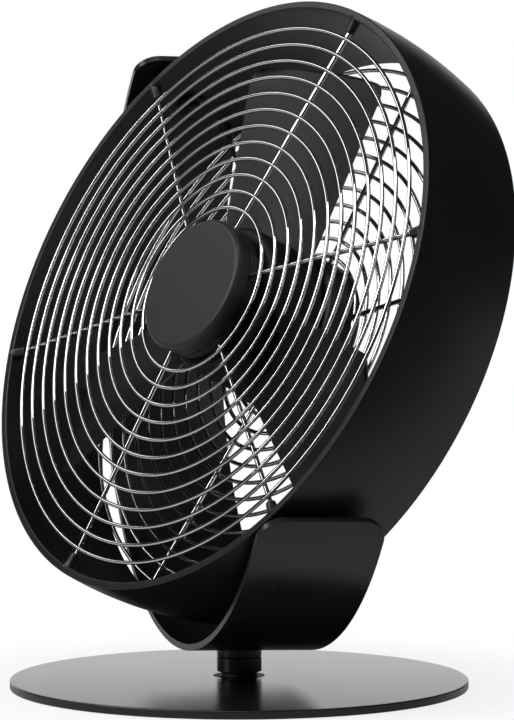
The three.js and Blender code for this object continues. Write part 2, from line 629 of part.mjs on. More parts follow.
function hubCap() {
  const shell = turned([
    [0, hubFaceZ],
    ...arcPoints(HUB_R - HUB_FACE_FILLET, hubFaceZ - HUB_FACE_FILLET, HUB_FACE_FILLET, 90, 0),
    [HUB_R, hubSplitZ],
    [HUB_R - HUB_WALL, hubSplitZ],
    [HUB_R - HUB_WALL, hubFaceZ - hubFloor],
    [0, hubFaceZ - hubFloor],
  ], MEDIUM);
  const bossBottom = hubBackZ + hubFloor + SEAT;
  const boss = shifted(
    disc(HUB_BOSS_R, bossBottom, hubFaceZ - hubFloor / 2, COARSE), HUB_SCREW_CIRCLE_R, 0, 0);
  const bore = shifted(
    disc(HUB_SCREW_R + SEAT, bossBottom - SPILL, hubFaceZ - hubFloor, COARSE), HUB_SCREW_CIRCLE_R, 0, 0);
  const bores = around(bore, 3, hubScrewPhase);
  return cut(join([shell, ...around(boss, 3, hubScrewPhase)]), [...bores, ...frontSpokePaths]);
}

function hubBack() {
  const shell = turned([
    [0, hubBackZ],
    [HUB_R - RIM_BEVEL, hubBackZ],
    [HUB_R, hubBackZ + RIM_BEVEL],
    [HUB_R, hubSplitZ - SEAT],
    [HUB_R - HUB_WALL, hubSplitZ - SEAT],
    [HUB_R - HUB_WALL, hubBackZ + hubFloor],
    [0, hubBackZ + hubFloor],
  ], MEDIUM);
  const hole = shifted(
    disc(HUB_SCREW_R + SEAT, hubBackZ - SPILL, hubSplitZ, COARSE), HUB_SCREW_CIRCLE_R, 0, 0);
  return cut(shell, [...around(hole, 3, hubScrewPhase), ...frontSpokePaths]);
}

// Pan-head screw along Z. The shank runs from the head's face at seatZ in the given direction.
function panScrew(seatZ, direction, length, shankR, headR, headHeight) {
  const z = (distance) => seatZ + direction * distance;
  return turned([
    [0, z(-headHeight)],
    [headR * 0.8, z(-headHeight)],
    [headR, z(-headHeight * 0.6)],
    [headR, z(0)],
    [shankR, z(0)],
    [shankR, z(length)],
    [0, z(length)],
  ], COARSE);
}

part(head, "hub_cap", hubCap(), blackPlastic);
part(head, "hub_back", hubBack(), blackPlastic);
const hubScrewSeat = hubBackZ - SEAT;
const hubScrewLength = hubFaceZ - hubFloor - SEAT - hubScrewSeat - HUB_SCREW_MARGIN;
const hubScrew = shifted(
  panScrew(hubScrewSeat, 1, hubScrewLength, HUB_SCREW_R, HUB_SCREW_HEAD_R, HUB_SCREW_HEAD_HEIGHT),
  HUB_SCREW_CIRCLE_R, 0, 0);
around(hubScrew, 3, hubScrewPhase).forEach((screw, i) => part(head, `hub_screw_${i + 1}`, screw, steel));

// ---------------------------------------------------------------- impeller
// One blade: a hollowed, twisted sheet between two straight edges, its tip corners rounded off.
function blade() {
  const rows = 8;
  const columns = 7;
  const rootR = IMPELLER_HUB_R - IMPELLER_HUB_WALL / 2;
  const tipR = innerRadius(FRONT_Z) - BLADE_TIP_GAP;
  const trailZ = FRONT_Z - BLADE_SETBACK;
  const vertices = [];
  for (let i = 0; i <= rows; i++) {
    const share = Math.sin((Math.PI / 2) * (i / rows)); // closer rows towards the rounded corners
    const r = rootR + share * (tipR - rootR);
    const intoCorner = Math.max(0, r - (tipR - BLADE_CORNER_R));
    const cornerLoss = BLADE_CORNER_R - Math.sqrt(Math.max(0, BLADE_CORNER_R ** 2 - intoCorner ** 2));
    const lead = -rad(BLADE_WEDGE / 2) - Math.asin(BLADE_LEAD_OFFSET / r) + cornerLoss / r;
    const trail = rad(BLADE_WEDGE / 2) + Math.asin(BLADE_TRAIL_OFFSET / r) - cornerLoss / r;
    for (let j = 0; j <= columns; j++) {
      const chord = -1 + (2 * j) / columns;
      const angle = THREE.MathUtils.lerp(lead, trail, j / columns);
      const z = trailZ - (BLADE_AXIAL_DEPTH * (1 - chord)) / 2 - BLADE_CAMBER * (1 - chord ** 2);
      const half = (BLADE_THICKNESS / 2) * (1 - 0.55 * chord ** 4);
      vertices.push([r * Math.cos(angle), r * Math.sin(angle), z, half]);
    }
  }
  return solid(sheet(vertices, rows, columns));
}

// A closed sheet from a grid of [x, y, z, half thickness] points, thickened along Z.
function sheet(grid, rows, columns) {
  const positions = [];
  const at = (i, j, side) => {
    const [x, y, z, half] = grid[i * (columns + 1) + j];
    return [x, y, z + side * half];
  };
  const quad = (a, b, c, d) => positions.push(...a, ...b, ...c, ...a, ...c, ...d);
  for (let i = 0; i < rows; i++) {
    for (let j = 0; j < columns; j++) {
      quad(at(i, j, 1), at(i + 1, j, 1), at(i + 1, j + 1, 1), at(i, j + 1, 1));
      quad(at(i, j, -1), at(i, j + 1, -1), at(i + 1, j + 1, -1), at(i + 1, j, -1));
    }
    quad(at(i, 0, -1), at(i + 1, 0, -1), at(i + 1, 0, 1), at(i, 0, 1));
    quad(at(i + 1, columns, -1), at(i, columns, -1), at(i, columns, 1), at(i + 1, columns, 1));
  }
  for (let j = 0; j < columns; j++) {
    quad(at(0, j + 1, -1), at(0, j, -1), at(0, j, 1), at(0, j + 1, 1));
    quad(at(rows, j, -1), at(rows, j + 1, -1), at(rows, j + 1, 1), at(rows, j, 1));
  }
  const geometry = new THREE.BufferGeometry();
  return geometry.setAttribute("position", new THREE.Float32BufferAttribute(positions, 3));
}

function impeller() {
  const innerR = IMPELLER_HUB_R - IMPELLER_HUB_WALL;
  const wallTop = impellerFrontZ - IMPELLER_HUB_WALL;
  const bossBottom = bearingTubeFrontZ + 1;
  const hub = turned([
    [0, impellerFrontZ],
    ...arcPoints(IMPELLER_HUB_R - IMPELLER_FILLET, impellerFrontZ - IMPELLER_FILLET, IMPELLER_FILLET, 90, 0),
    [IMPELLER_HUB_R, impellerRearZ],
    [innerR, impellerRearZ],
    [innerR, wallTop],
    [shaftBossR, wallTop],
    [shaftBossR, bossBottom],
    [SHAFT_R + SEAT, bossBottom],
    [SHAFT_R + SEAT, shaftBoreTop],
    [0, shaftBoreTop],
  ], MEDIUM);
  const inside = disc(innerR + IMPELLER_HUB_WALL / 10, impellerRearZ - BLADE_AXIAL_DEPTH, wallTop, MEDIUM);
  const blades = around(blade().subtract(inside), BLADE_COUNT, BLADE_PHASE);
  return join([hub, ...blades]);
}

const cupInnerR = rotorCupR - ROTOR_CUP_WALL;
const cupRearZ = impellerRearZ + SEAT;
const rotorCup = turned([
  [shaftBossR + SEAT, rotorCupFrontZ],
  [rotorCupR, rotorCupFrontZ],
  [rotorCupR, cupRearZ],
  [cupInnerR, cupRearZ],
  [cupInnerR, rotorCupFrontZ - ROTOR_CUP_WALL],
  [shaftBossR + SEAT, rotorCupFrontZ - ROTOR_CUP_WALL],
]);
const shaftRearZ = mountFloorRearZ - SHAFT_TAIL;
const clipZ = mountFloorRearZ - SEAT;

part(head, "impeller", impeller(), blackPlastic);
part(head, "rotor_cup", rotorCup, steel);
const magnetFrontZ = rotorCupFrontZ - ROTOR_CUP_WALL - SEAT;
const magnetRing = sleeve(magnetR - MAGNET_THICKNESS, magnetR, cupRearZ + SEAT, magnetFrontZ);
part(head, "magnet_ring", magnetRing, magnetFerrite);
part(head, "motor_shaft", disc(SHAFT_R, shaftRearZ, shaftBoreTop - SEAT, SMALL), steel);
const shaftClip = sleeve(SHAFT_R + SEAT, 2 * SHAFT_R, clipZ - SHAFT_CLIP_THICKNESS, clipZ, SMALL);
part(head, "shaft_clip", shaftClip, steel);

// ---------------------------------------------------------------- motor mount, bearings and stator
const bearingFrontZ = bearingTubeFrontZ;
const rearBearingFrontZ = mountFrontZ + BEARING_WIDTH + SEAT;
const standoffPhase = SPOKE_PHASE;

function motorMount() {
  const shoulderR = bearingTubeBoreR - BEARING_SHOULDER;
  const shell = turned([
    [SHAFT_R + RUNNING, mountFloorRearZ],
    [MOUNT_R - MOUNT_WALL, mountFloorRearZ],
    [MOUNT_R - MOUNT_WALL, mountSplitZ + SEAT],
    [MOUNT_R, mountSplitZ + SEAT],
    ...arcPoints(MOUNT_R - COVER_FILLET, mountFrontZ - COVER_FILLET, COVER_FILLET, 0, 90),
    [bearingTubeR, mountFrontZ],
    [bearingTubeR, bearingTubeFrontZ],
    [bearingTubeBoreR, bearingTubeFrontZ],
    [bearingTubeBoreR, bearingFrontZ - BEARING_WIDTH - 2 * SEAT],
    [shoulderR, bearingFrontZ - BEARING_WIDTH - 2 * SEAT],
    [shoulderR, rearBearingFrontZ + SEAT],
    [bearingTubeBoreR, rearBearingFrontZ + SEAT],
    [bearingTubeBoreR, mountFrontZ],
    [SHAFT_R + RUNNING, mountFrontZ],
  ], MEDIUM);
  const standoff = shifted(
    disc(STANDOFF_R, boardFrontZ + SEAT, mountFloorRearZ + MOUNT_FLOOR / 2, COARSE), STANDOFF_CIRCLE_R, 0, 0);
  const bore = shifted(
    disc(COVER_SCREW_R + SEAT, boardFrontZ - SPILL, boardFrontZ + COVER_SCREW_BITE + 2 * SEAT, COARSE),
    STANDOFF_CIRCLE_R, 0, 0);
  const bores = around(bore, 3, standoffPhase);
  return cut(join([shell, ...around(standoff, 3, standoffPhase)]), [...bores, ...rearSpokePaths]);
}

const bearing = (frontZ) => sleeve(SHAFT_R + SEAT, BEARING_R, frontZ - BEARING_WIDTH, frontZ, SMALL);

// Six-pole lamination stack: a yoke ring with T-shaped poles.
function statorCore() {
  const yokeR = bearingTubeR + SEAT + STATOR_YOKE;
  const yoke = sleeve(bearingTubeR + SEAT, yokeR, statorRearZ, statorFrontZ, MEDIUM);
  const neck = new THREE.BoxGeometry(statorR - yokeR, POLE_NECK_WIDTH, STATOR_HEIGHT)
    .translate((statorR + yokeR) / 2 - 0.5, 0, (statorFrontZ + statorRearZ) / 2);
  const halfTip = (360 / STATOR_POLES - POLE_TIP_GAP) / 2;
  const tip = new THREE.Shape();
  tip.absarc(0, 0, statorR, rad(-halfTip), rad(halfTip), false);
  tip.absarc(0, 0, statorR - POLE_TIP_DEPTH, rad(halfTip), rad(-halfTip), true);
  tip.closePath();
  const form = { depth: STATOR_HEIGHT, bevelEnabled: false, curveSegments: 2 };
  const pole = solid(new THREE.ExtrudeGeometry(tip, form).translate(0, 0, statorRearZ)).add(solid(neck));
  return join([yoke, ...around(pole, STATOR_POLES)]);
}

// One winding round a pole's neck.
function coil() {
  const innerR = bearingTubeR + SEAT + STATOR_YOKE + SEAT;
  const outerR = statorR - POLE_TIP_DEPTH - 2 * SEAT;
  const middle = [(innerR + outerR) / 2, 0, (statorFrontZ + statorRearZ) / 2];
  const box = (clearance, length) => solid(new THREE.BoxGeometry(
    length, POLE_NECK_WIDTH + 2 * clearance, STATOR_HEIGHT + 2 * clearance).translate(...middle));
  return box(SEAT + COIL_BUILD, outerR - innerR).subtract(box(SEAT, outerR - innerR + 2 * SPILL));
}

part(head, "motor_mount", motorMount(), blackPlastic);
part(head, "bearing_front", bearing(bearingFrontZ - SEAT), steel);
part(head, "bearing_rear", bearing(rearBearingFrontZ), steel);
part(head, "stator_core", statorCore(), steel);
around(coil(), STATOR_POLES).forEach((winding, i) => part(head, `stator_coil_${i + 1}`, winding, copper));

// ---------------------------------------------------------------- board, switch, inlet, button and rear cover
const buttonCentre = [0, CONTROL_CIRCLE_R];
const inletCentre = [0, -CONTROL_CIRCLE_R];
const switchRearZ = boardRearZ - SEAT - SWITCH_HEIGHT;
const buttonFaceZ = coverRearZ - BUTTON_PROUD;
const buttonFootZ = switchRearZ - BUTTON_TRAVEL - SEAT;

function board() {
  const plate = sleeve(BOARD_HOLE_R, MOUNT_R - MOUNT_WALL - 2 * SEAT, boardRearZ, boardFrontZ, MEDIUM);
  const hole = shifted(
    disc(COVER_SCREW_R + SEAT, boardRearZ - SPILL, boardFrontZ + SPILL, COARSE), STANDOFF_CIRCLE_R, 0, 0);
  return cut(plate, around(hole, 3, standoffPhase));
}

function motorCover() {
  const shell = turned([
    [0, coverRearZ],
    ...arcPoints(MOUNT_R - COVER_FILLET, coverRearZ + COVER_FILLET, COVER_FILLET, -90, 0),
    [MOUNT_R, mountSplitZ],
    [MOUNT_R - MOUNT_WALL, mountSplitZ],
    [MOUNT_R - MOUNT_WALL, coverInnerZ],
    [0, coverInnerZ],
  ], MEDIUM);
  const column = shifted(
    disc(STANDOFF_R, coverInnerZ - COVER_WALL / 2, boardRearZ - SEAT, COARSE), STANDOFF_CIRCLE_R, 0, 0);
  const screwHole = shifted(
    disc(COVER_SCREW_R + SEAT, coverRearZ - SPILL, boardRearZ, COARSE), STANDOFF_CIRCLE_R, 0, 0);
  const headPocket = shifted(
    disc(COVER_SCREW_HEAD_R + SEAT, coverRearZ - SPILL, coverRearZ + COVER_SCREW_HEAD_HEIGHT + SEAT, SMALL),
    STANDOFF_CIRCLE_R, 0, 0);
  const wallHole = (r, centre) =>
    shifted(disc(r, coverRearZ - SPILL, coverInnerZ + SPILL, SMALL), ...centre, 0);
  return cut(join([shell, ...around(column, 3, standoffPhase)]), [
    ...around(screwHole.add(headPocket), 3, standoffPhase),
    wallHole(BUTTON_R + RUNNING, buttonCentre),
    wallHole(INLET_R + SEAT, inletCentre),
    ...rearSpokePaths,
  ]);
}

const button = turned([
  [0, buttonFaceZ],
  [BUTTON_R - RIM_BEVEL, buttonFaceZ],
  [BUTTON_R, buttonFaceZ + RIM_BEVEL],
  [BUTTON_R, coverInnerZ + SEAT],
  [BUTTON_R + BUTTON_LIP, coverInnerZ + SEAT],
  [BUTTON_R + BUTTON_LIP, coverInnerZ + SEAT + BUTTON_LIP],
  [SWITCH_SIDE / 4, coverInnerZ + SEAT + BUTTON_LIP],
  [SWITCH_SIDE / 4, buttonFootZ],
  [0, buttonFootZ],
], SMALL);

const inlet = turned([
  [0, boardRearZ - SEAT],
  [INLET_R, boardRearZ - SEAT],
  [INLET_R, coverRearZ],
  [INLET_BORE_R, coverRearZ],
  [INLET_BORE_R, boardRearZ - SEAT - INLET_FLOOR],
  [INLET_PIN_R, boardRearZ - SEAT - INLET_FLOOR],
  [INLET_PIN_R, coverRearZ + INLET_PIN_RECESS],
  [0, coverRearZ + INLET_PIN_RECESS],
], SMALL);

const switchBody = solid(new THREE.BoxGeometry(SWITCH_SIDE, SWITCH_SIDE, SWITCH_HEIGHT)
  .translate(...buttonCentre, boardRearZ - SEAT - SWITCH_HEIGHT / 2));

part(head, "circuit_board", board(), boardGreen);
part(head, "switch_body", switchBody, steel);
part(head, "power_inlet", shifted(inlet, ...inletCentre, 0), blackPlastic);
part(head, "power_button", shifted(button, ...buttonCentre, 0), blackPlastic);
part(head, "motor_cover", motorCover(), blackPlastic);
const coverScrewSeat = coverRearZ + COVER_SCREW_HEAD_HEIGHT;
const coverScrew = shifted(
  panScrew(coverScrewSeat, 1, boardFrontZ + COVER_SCREW_BITE - coverScrewSeat,
    COVER_SCREW_R, COVER_SCREW_HEAD_R, COVER_SCREW_HEAD_HEIGHT),
  STANDOFF_CIRCLE_R, 0, 0);
around(coverScrew, 3, standoffPhase).forEach((screw, i) => part(head, `cover_screw_${i + 1}`, screw, steel));

// ---------------------------------------------------------------- the head in its place in the band frame
const tiltAxis = new THREE.Vector3(Math.cos(rad(TILT_AXIS_SLOPE)), 0, -Math.sin(rad(TILT_AXIS_SLOPE)));
const airAxis = new THREE.Vector3(0, -1, 0).applyAxisAngle(tiltAxis, rad(-HEAD_TILT));
const headFrame = new THREE.Matrix4().makeBasis(tiltAxis, airAxis.clone().cross(tiltAxis), airAxis);
head.quaternion.setFromRotationMatrix(headFrame);
head.position.set(0, 0, pivotHeight);

export default fan;
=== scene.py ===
"""Desk air circulator: a round fan head that tilts in a bent flat band on a thin round base.

Every piece is built round the packed model's own places, in metres. The head's pieces are made in the head's
frame, with +Z along the air axis towards the front and +X along the tilt axis towards the short arm.
"""

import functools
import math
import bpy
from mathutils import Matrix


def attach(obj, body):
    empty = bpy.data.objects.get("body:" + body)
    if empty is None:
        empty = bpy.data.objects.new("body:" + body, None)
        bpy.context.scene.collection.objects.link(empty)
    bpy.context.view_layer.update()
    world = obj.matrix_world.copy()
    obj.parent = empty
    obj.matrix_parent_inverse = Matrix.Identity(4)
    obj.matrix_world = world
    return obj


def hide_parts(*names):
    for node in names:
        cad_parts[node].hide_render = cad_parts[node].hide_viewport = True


bl_info = {
    "name": "Desk air circulator",
    "version": (1, 0, 0),
    "blender": (4, 5, 0),
    "location": "3D View > Sidebar > Fan",
    "description": "Builds the finished pieces, materials and studio of a desk air circulator",
    "category": "Add Mesh",
}

import bmesh
import bpy
from bpy.props import FloatProperty, FloatVectorProperty, IntProperty, PointerProperty
from mathutils import Matrix, Vector

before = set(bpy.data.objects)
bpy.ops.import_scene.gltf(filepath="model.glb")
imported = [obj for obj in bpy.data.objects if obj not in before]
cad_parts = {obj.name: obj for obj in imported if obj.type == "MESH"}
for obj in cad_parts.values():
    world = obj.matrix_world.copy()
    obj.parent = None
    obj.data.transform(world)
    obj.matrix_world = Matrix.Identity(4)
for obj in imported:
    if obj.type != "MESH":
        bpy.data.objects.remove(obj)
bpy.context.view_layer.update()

MM = 0.001
SEAT = 0.3 * MM  # gap left between two pieces that touch
LATHE_STEPS = 160  # sides of a large turned piece
SMALL_STEPS = 40  # sides of a screw, a pin or a washer
SHARP = math.radians(50)  # an edge that turns more than this stays crisp or gets its bevel
DONE = {"FINISHED"}
SMOOTH = {"interpolation_type": "SMOOTHSTEP"}
once = functools.cache  # a material or a node tree is made when a piece first asks for it, and then kept


# ---------------------------------------------------------------- colours and properties
def linear(hex_colour):
    """A hex sRGB colour as linear red, green, blue and alpha."""
    channels = [int(hex_colour[i : i + 2], 16) / 255 for i in (1, 3, 5)]
    return tuple(c / 12.92 if c <= 0.04045 else ((c + 0.055) / 1.055) ** 2.4 for c in channels) + (1.0,)


WHITE = linear("#ffffff")


def mm(*lengths):
    """Millimetres as metres."""
    return [length * MM for length in lengths]


def size(name, description, millimetres):
    """A length that is given in millimetres."""
    return FloatProperty(
        name=name, description=description, default=millimetres * MM, precision=4,
        subtype="DISTANCE", unit="LENGTH",
    )


def angle(name, description, degrees):
    """An angle that is given in degrees."""
    return FloatProperty(
        name=name, description=description, default=math.radians(degrees), subtype="ANGLE", unit="ROTATION"
    )


def colour(name, description, hex_colour):
    """A colour that is given as hex sRGB."""
    return FloatVectorProperty(
        name=name, description=description, default=linear(hex_colour)[:3], size=3, min=0, max=1,
        subtype="COLOR",
    )


def point(name, description, metres):
    return FloatVectorProperty(name=name, description=description, default=metres, subtype="XYZ", precision=4)


def power(name, description, watts):
    return FloatProperty(name=name, description=description, default=watts, unit="POWER")


class BaseSizes(bpy.types.PropertyGroup):
    """Sizes of the base plate and of the post that turns on it"""

    radius: size("Radius", "Radius of the base plate", 79)
    lift: size("Lift", "Height of the plate's underside above the table", 0.4)
    rim: size("Rim thickness", "Thickness of the plate at its edge", 2.9)
    crown: size("Crown", "How much higher the middle of the plate stands", 1.2)
    edge: size("Edge radius", "Rounding of the plate's edges", 0.45)
    pad_radius: size("Pad radius", "Radius of the rubber sheet under the plate", 75)
    pad_thickness: size("Pad thickness", "Thickness of the rubber sheet", 0.8)
    pocket_radius: size("Pocket radius", "Radius of the pocket round the post's foot", 8.8)
    under_recess: size("Under recess", "Radius of the pocket for the swivel screw", 13)
    post_radius: size("Post radius", "Radius of the post", 7.7)
    post_gap: size("Post gap", "Shadow gap between plate and post", 1.5)
    post_foot: size("Post foot", "Rounding of the post's lower edge", 0.4)
    groove_drop: size("Groove drop", "Groove below the underside of the band", 2.8)
    groove: size("Groove", "Depth of the groove in the post", 0.4)


class BandSizes(bpy.types.PropertyGroup):
    """Sizes of the bent band and where its ends are"""

    bottom: size("Underside", "Height of the band's underside over the table, at the post", 14)
    lean: angle("Lean", "How far the band leans back", 1.816)
    gap: size("Gap to the head", "Gap between the head's widest place and the band", 5.1)
    thickness: size("Thickness", "Thickness of the sheet", 2.2)
    width: size("Width", "Width of the band", 43.6)
    corner: size("Corner radius", "Rounding of the ends seen flat", 8.5)
    edge: size("Edge radius", "Rounding of the sheet's edges", 0.35)
    slope: angle("Tilt axis slope", "How far the tilt axis dips towards the short arm", 39.93)
    low_reach: size("Short arm", "Band beyond the pivot of the short arm", 15.5)
    high_reach: size("Long arm", "Band beyond the pivot of the long arm", 16)


class HeadSizes(bpy.types.PropertyGroup):
    """Sizes of the fan head's housing and hub"""

    tilt: angle("Tilt", "How far the head is turned up as it stands", 29.89)
    front: size("Front", "Front rim ahead of the tilt axis", 19.5)
    depth: size("Depth", "Depth of the housing", 44)
    rim_radius: size("Rim radius", "Radius of the front rim", 107.9)
    barrel: size("Barrel", "Radius of the wall's lengthwise curve", 150)
    peak: size("Barrel peak", "Widest place behind the front rim", 11.5)
    wall: size("Wall", "Wall thickness at the front rim", 2.7)
    rear_wall: size("Rear wall", "Wall thickness at the rear edge", 1.5)
    edge: size("Edges", "Rounding of the housing's edges", 0.45)
    hub_radius: size("Hub radius", "Radius of the front hub", 23.8)
    hub_ahead: size("Hub ahead", "Hub face ahead of the front rim", 7.9)
    hub_behind: size("Hub behind", "Back of the hub behind the front rim", 1.9)
    hub_fillet: size("Hub edge", "Rounding of the hub's front edge", 1.6)
    mount_radius: size("Motor housing radius", "Radius of the rear motor housing", 28)
    mount_front: size("Motor housing front", "Front of the motor housing, along the air axis", -11.7)
    cover_rear: size("Motor housing rear", "Rear of the motor housing, along the air axis", -27.2)


class GrilleSizes(bpy.types.PropertyGroup):
    """Sizes of the two wire grilles"""

    rings: IntProperty(name="Rings", description="Rings in each grille", default=12, min=2)
    spokes: IntProperty(name="Spokes", description="Spokes in each grille", default=6, min=3)
    phase: angle("Phase", "First spoke from the tilt axis", 0.5)
    to_wall: size("Ring to wall", "Outermost ring inside the housing's opening", 7.2)
    to_hub: size("Ring to hub", "Innermost ring outside the front hub", 6.2)
    ring_wire: size("Ring wire", "Radius of the ring wire", 0.7)
    spoke_wire: size("Spoke wire", "Radius of the spoke wire", 0.8)
    weld: size("Weld", "How deep a ring sinks into a spoke", 0.25)
    rise: FloatProperty(name="Rise", description="Rise per length towards the middle", default=0.052)
    front_recess: size("Front recess", "Outermost front ring behind the rim", 1)
    rear_recess: size("Rear recess", "Rear spokes' ends ahead of the rear edge", 7.8)
    socket: size("Socket radius", "Radius of a spoke socket", 1.9)
    socket_length: size("Socket length", "How far a socket reaches in from the wall", 5.2)
    engagement: size("Engagement", "Length of spoke inside a socket", 3)


class ImpellerSizes(bpy.types.PropertyGroup):
    """Sizes of the impeller"""

    blades: IntProperty(name="Blades", description="Number of blades", default=3, min=2)
    tip_gap: size("Tip gap", "Blade tips inside the housing's opening", 15.2)
    phase: angle("Phase", "First blade's middle from the tilt axis", 19.67)
    wedge: angle("Wedge", "Angle between the radii along a blade's two edges", 22)
    lead: size("Leading edge", "Leading edge outside its radius", 16.3)
    trail: size("Trailing edge", "Trailing edge outside its radius", 7.5)
    setback: size("Setback", "Trailing edges behind the front rim", 8.7)
    depth: size("Blade depth", "Depth of the blades along the air axis", 14.8)
    thickness: size("Blade thickness", "Thickness of a blade at its middle", 1.8)
    corner: size("Blade corner", "Rounding of the blade tips", 5)
    camber: size("Camber", "Hollow of a blade towards the rear", 5)
    hub_radius: size("Hub radius", "Radius of the impeller's hub", 26.5)
    hub_wall: size("Hub wall", "Wall thickness of the hub", 2.2)
    hub_setback: size("Hub setback", "Front of the hub behind the front rim", 5.7)
    hub_depth: size("Hub depth", "Depth of the hub along the air axis", 23)
    fillet: size("Hub edge", "Rounding of the hub's front edge", 2.5)


class Finishes(bpy.types.PropertyGroup):
    """Colours of the finishes"""

    coat: colour("Powder coat", "Satin black powder coat on the steel", "#151516")
    housing: colour("Housing", "Moulded housing", "#131314")
    plastic: colour("Plastic", "Moulded hub and motor housing", "#1b1b1c")
    blade: colour("Blades", "Moulded impeller", "#111112")
    wire: colour("Wire", "Bright chromed wire", "#e9e9ea")
    zinc: colour("Zinc", "Zinc plated screws and pins", "#a3a7ab")
    rubber: colour("Rubber", "Rubber sheet and washers", "#161616")
    copper: colour("Copper", "Enamelled winding wire", "#a4572c")
    laminate: colour("Laminate", "Solder resist on the circuit board", "#1f5a33")


class Studio(bpy.types.PropertyGroup):
    """Camera and light"""

    camera: point("Camera", "Place of the camera", (1.8555, -0.5236, 0.26895))
    target: point("Target", "Point the camera looks at", (0.00169, 0.0059, 0.11341))
    lens: FloatProperty(name="Lens", description="Focal length", default=281.96, unit="CAMERA")
    key: power("Left light", "Power of the long soft box on the left", 9.0)
    fill: power("Right light", "Power of the soft box on the right", 1.5)
    top: power("High light", "Power of the soft box over the camera's left", 21.0)


# ---------------------------------------------------------------- materials
def add(tree, kind, inputs=(), **settings):
    """Adds a node. inputs gives its sockets, by name or number or in their order, a value, another node's
    output socket, or another node, which stands for its first output."""
    made = tree.nodes.new(kind)
    for key, value in settings.items():
        setattr(made, key, value)
    for key, value in inputs.items() if isinstance(inputs, dict) else enumerate(inputs):
        if isinstance(value, bpy.types.Node):
            value = value.outputs[0]
        if isinstance(value, bpy.types.NodeSocket):
            tree.links.new(value, made.inputs[key])
        else:
            made.inputs[key].default_value = value
    return made


def new_material(name, inputs):
    """A material with those inputs of its Principled BSDF. Also gives its tree, that node and the object
    coordinates that its patterns lie on."""
    material = bpy.data.materials.new(name)
    material.use_nodes = True
    tree = material.node_tree
    shader = tree.nodes["Principled BSDF"]
    for key, value in inputs.items():
        shader.inputs[key].default_value = value
    return material, tree, shader, add(tree, "ShaderNodeTexCoord").outputs["Object"]


def grain(tree, shader, place, scale, strength, depth):
    """Fine surface relief: grains per metre, strength, and depth in metres."""
    noise = add(tree, "ShaderNodeTexNoise", {"Vector": place, "Scale": scale, "Detail": 2.0})
    bump = add(tree, "ShaderNodeBump", {"Height": noise, "Strength": strength, "Distance": depth})
    tree.links.new(bump.outputs[0], shader.inputs["Normal"])


def ridges(tree, shader, place, scale, distortion, strength, depth, direction):
    """Fine parallel ridges. Gives how high a point is on them, from 0 to 1."""
    bands = {"Vector": place, "Scale": scale, "Distortion": distortion}
    height = add(tree, "ShaderNodeTexWave", bands, bands_direction=direction).outputs["Fac"]
    bump = add(tree, "ShaderNodeBump", {"Height": height, "Strength": strength, "Distance": depth})
    tree.links.new(bump.outputs[0], shader.inputs["Normal"])
    return height


def blended(tree, shader, share, base, lighter):
    """The base colour, blended with a lighter one by a pattern's share."""
    colours = {"Factor": share, 6: (*base[:3], 1.0), 7: (*lighter[:3], 1.0)}
    mix = add(tree, "ShaderNodeMix", colours, data_type="RGBA")
    tree.links.new(mix.outputs[2], shader.inputs["Base Color"])


def mottled(tree, shader, place, low, high, scale):
    """A slow variation of the roughness between two values, with that many patches per metre."""
    noise = add(tree, "ShaderNodeTexNoise", {"Vector": place, "Scale": scale, "Detail": 3.0})
    spread = add(tree, "ShaderNodeMapRange", [noise, 0.3, 0.7, low, high])
    tree.links.new(spread.outputs[0], shader.inputs["Roughness"])


def patterned(name, relief, colours, roughness, **inputs):
    """A material with a grain, a colour that drifts towards a lighter one and a mottled roughness. relief is
    grains per metre, strength and depth. colours are the two and their patches per metre. roughness is the
    lowest, the highest and their patches per metre."""
    material, tree, shader, place = new_material(name, inputs)
    grain(tree, shader, place, *relief)
    base, lighter, scale = colours
    noise = add(tree, "ShaderNodeTexNoise", {"Vector": place, "Scale": scale, "Detail": 4.0})
    blended(tree, shader, noise, base, lighter)
    mottled(tree, shader, place, *roughness)
    return material


def lighten(base, share):
    """The colour that is a share of the way from the base to white."""
    return tuple(c + (1 - c) * share for c in base[:3])


def finish_colours():
    return bpy.context.scene.fan_finishes


def powder_coat(name, low, high):
    """Mild steel with baked polyester powder: satin, with a faint orange peel about a millimetre across."""
    coat = finish_colours().coat
    colours = (coat, lighten(coat, 0.004), 35)
    return patterned(name, (900, 0.1, 0.06 * MM), colours, (low, high, 60), IOR=1.5)


@once
def powder_coated_steel():
    """The coat on the band and the post, which break the light softly."""
    return powder_coat("Powder-coated steel, satin black", 0.27, 0.33)


@once
def smooth_powder_coated_steel():
    """The coat on the base plate, which flowed out flat: an even sheen that mirrors the room in a blur."""
    return powder_coat("Powder-coated steel, smooth satin black", 0.25, 0.255)


def moulded_plastic(name, base, low, high, grain_scale=2600, ior=1.5):
    """Plastic moulded in an etched tool: even satin, with a grain finer than half a millimetre."""
    relief = (grain_scale, 0.12, 0.05 * MM)
    return patterned(name, relief, (base, lighten(base, 0.003), 25), (low, high, 40), IOR=ior)


@once
def housing_abs():
    """The housing's ABS, the glossiest of the mouldings: a soft, clear sheen round the barrel."""
    return moulded_plastic("ABS, moulded satin black", finish_colours().housing, 0.33, 0.41)


@once
def hub_abs():
    """The ABS of hub and motor housing, a shade lighter and duller than the housing's."""
    return moulded_plastic("ABS, moulded soft black", finish_colours().plastic, 0.40, 0.48)


@once
def blade_plastic():
    """The impeller's polypropylene: deep black with weak, broad reflections."""
    return moulded_plastic("Polypropylene, moulded black", finish_colours().blade, 0.43, 0.47, ior=1.34)


@once
def nylon():
    """Moulded black nylon: waxy and dull."""
    return moulded_plastic("Nylon, moulded black", linear("#0d0d0d"), 0.5, 0.62, 1800)


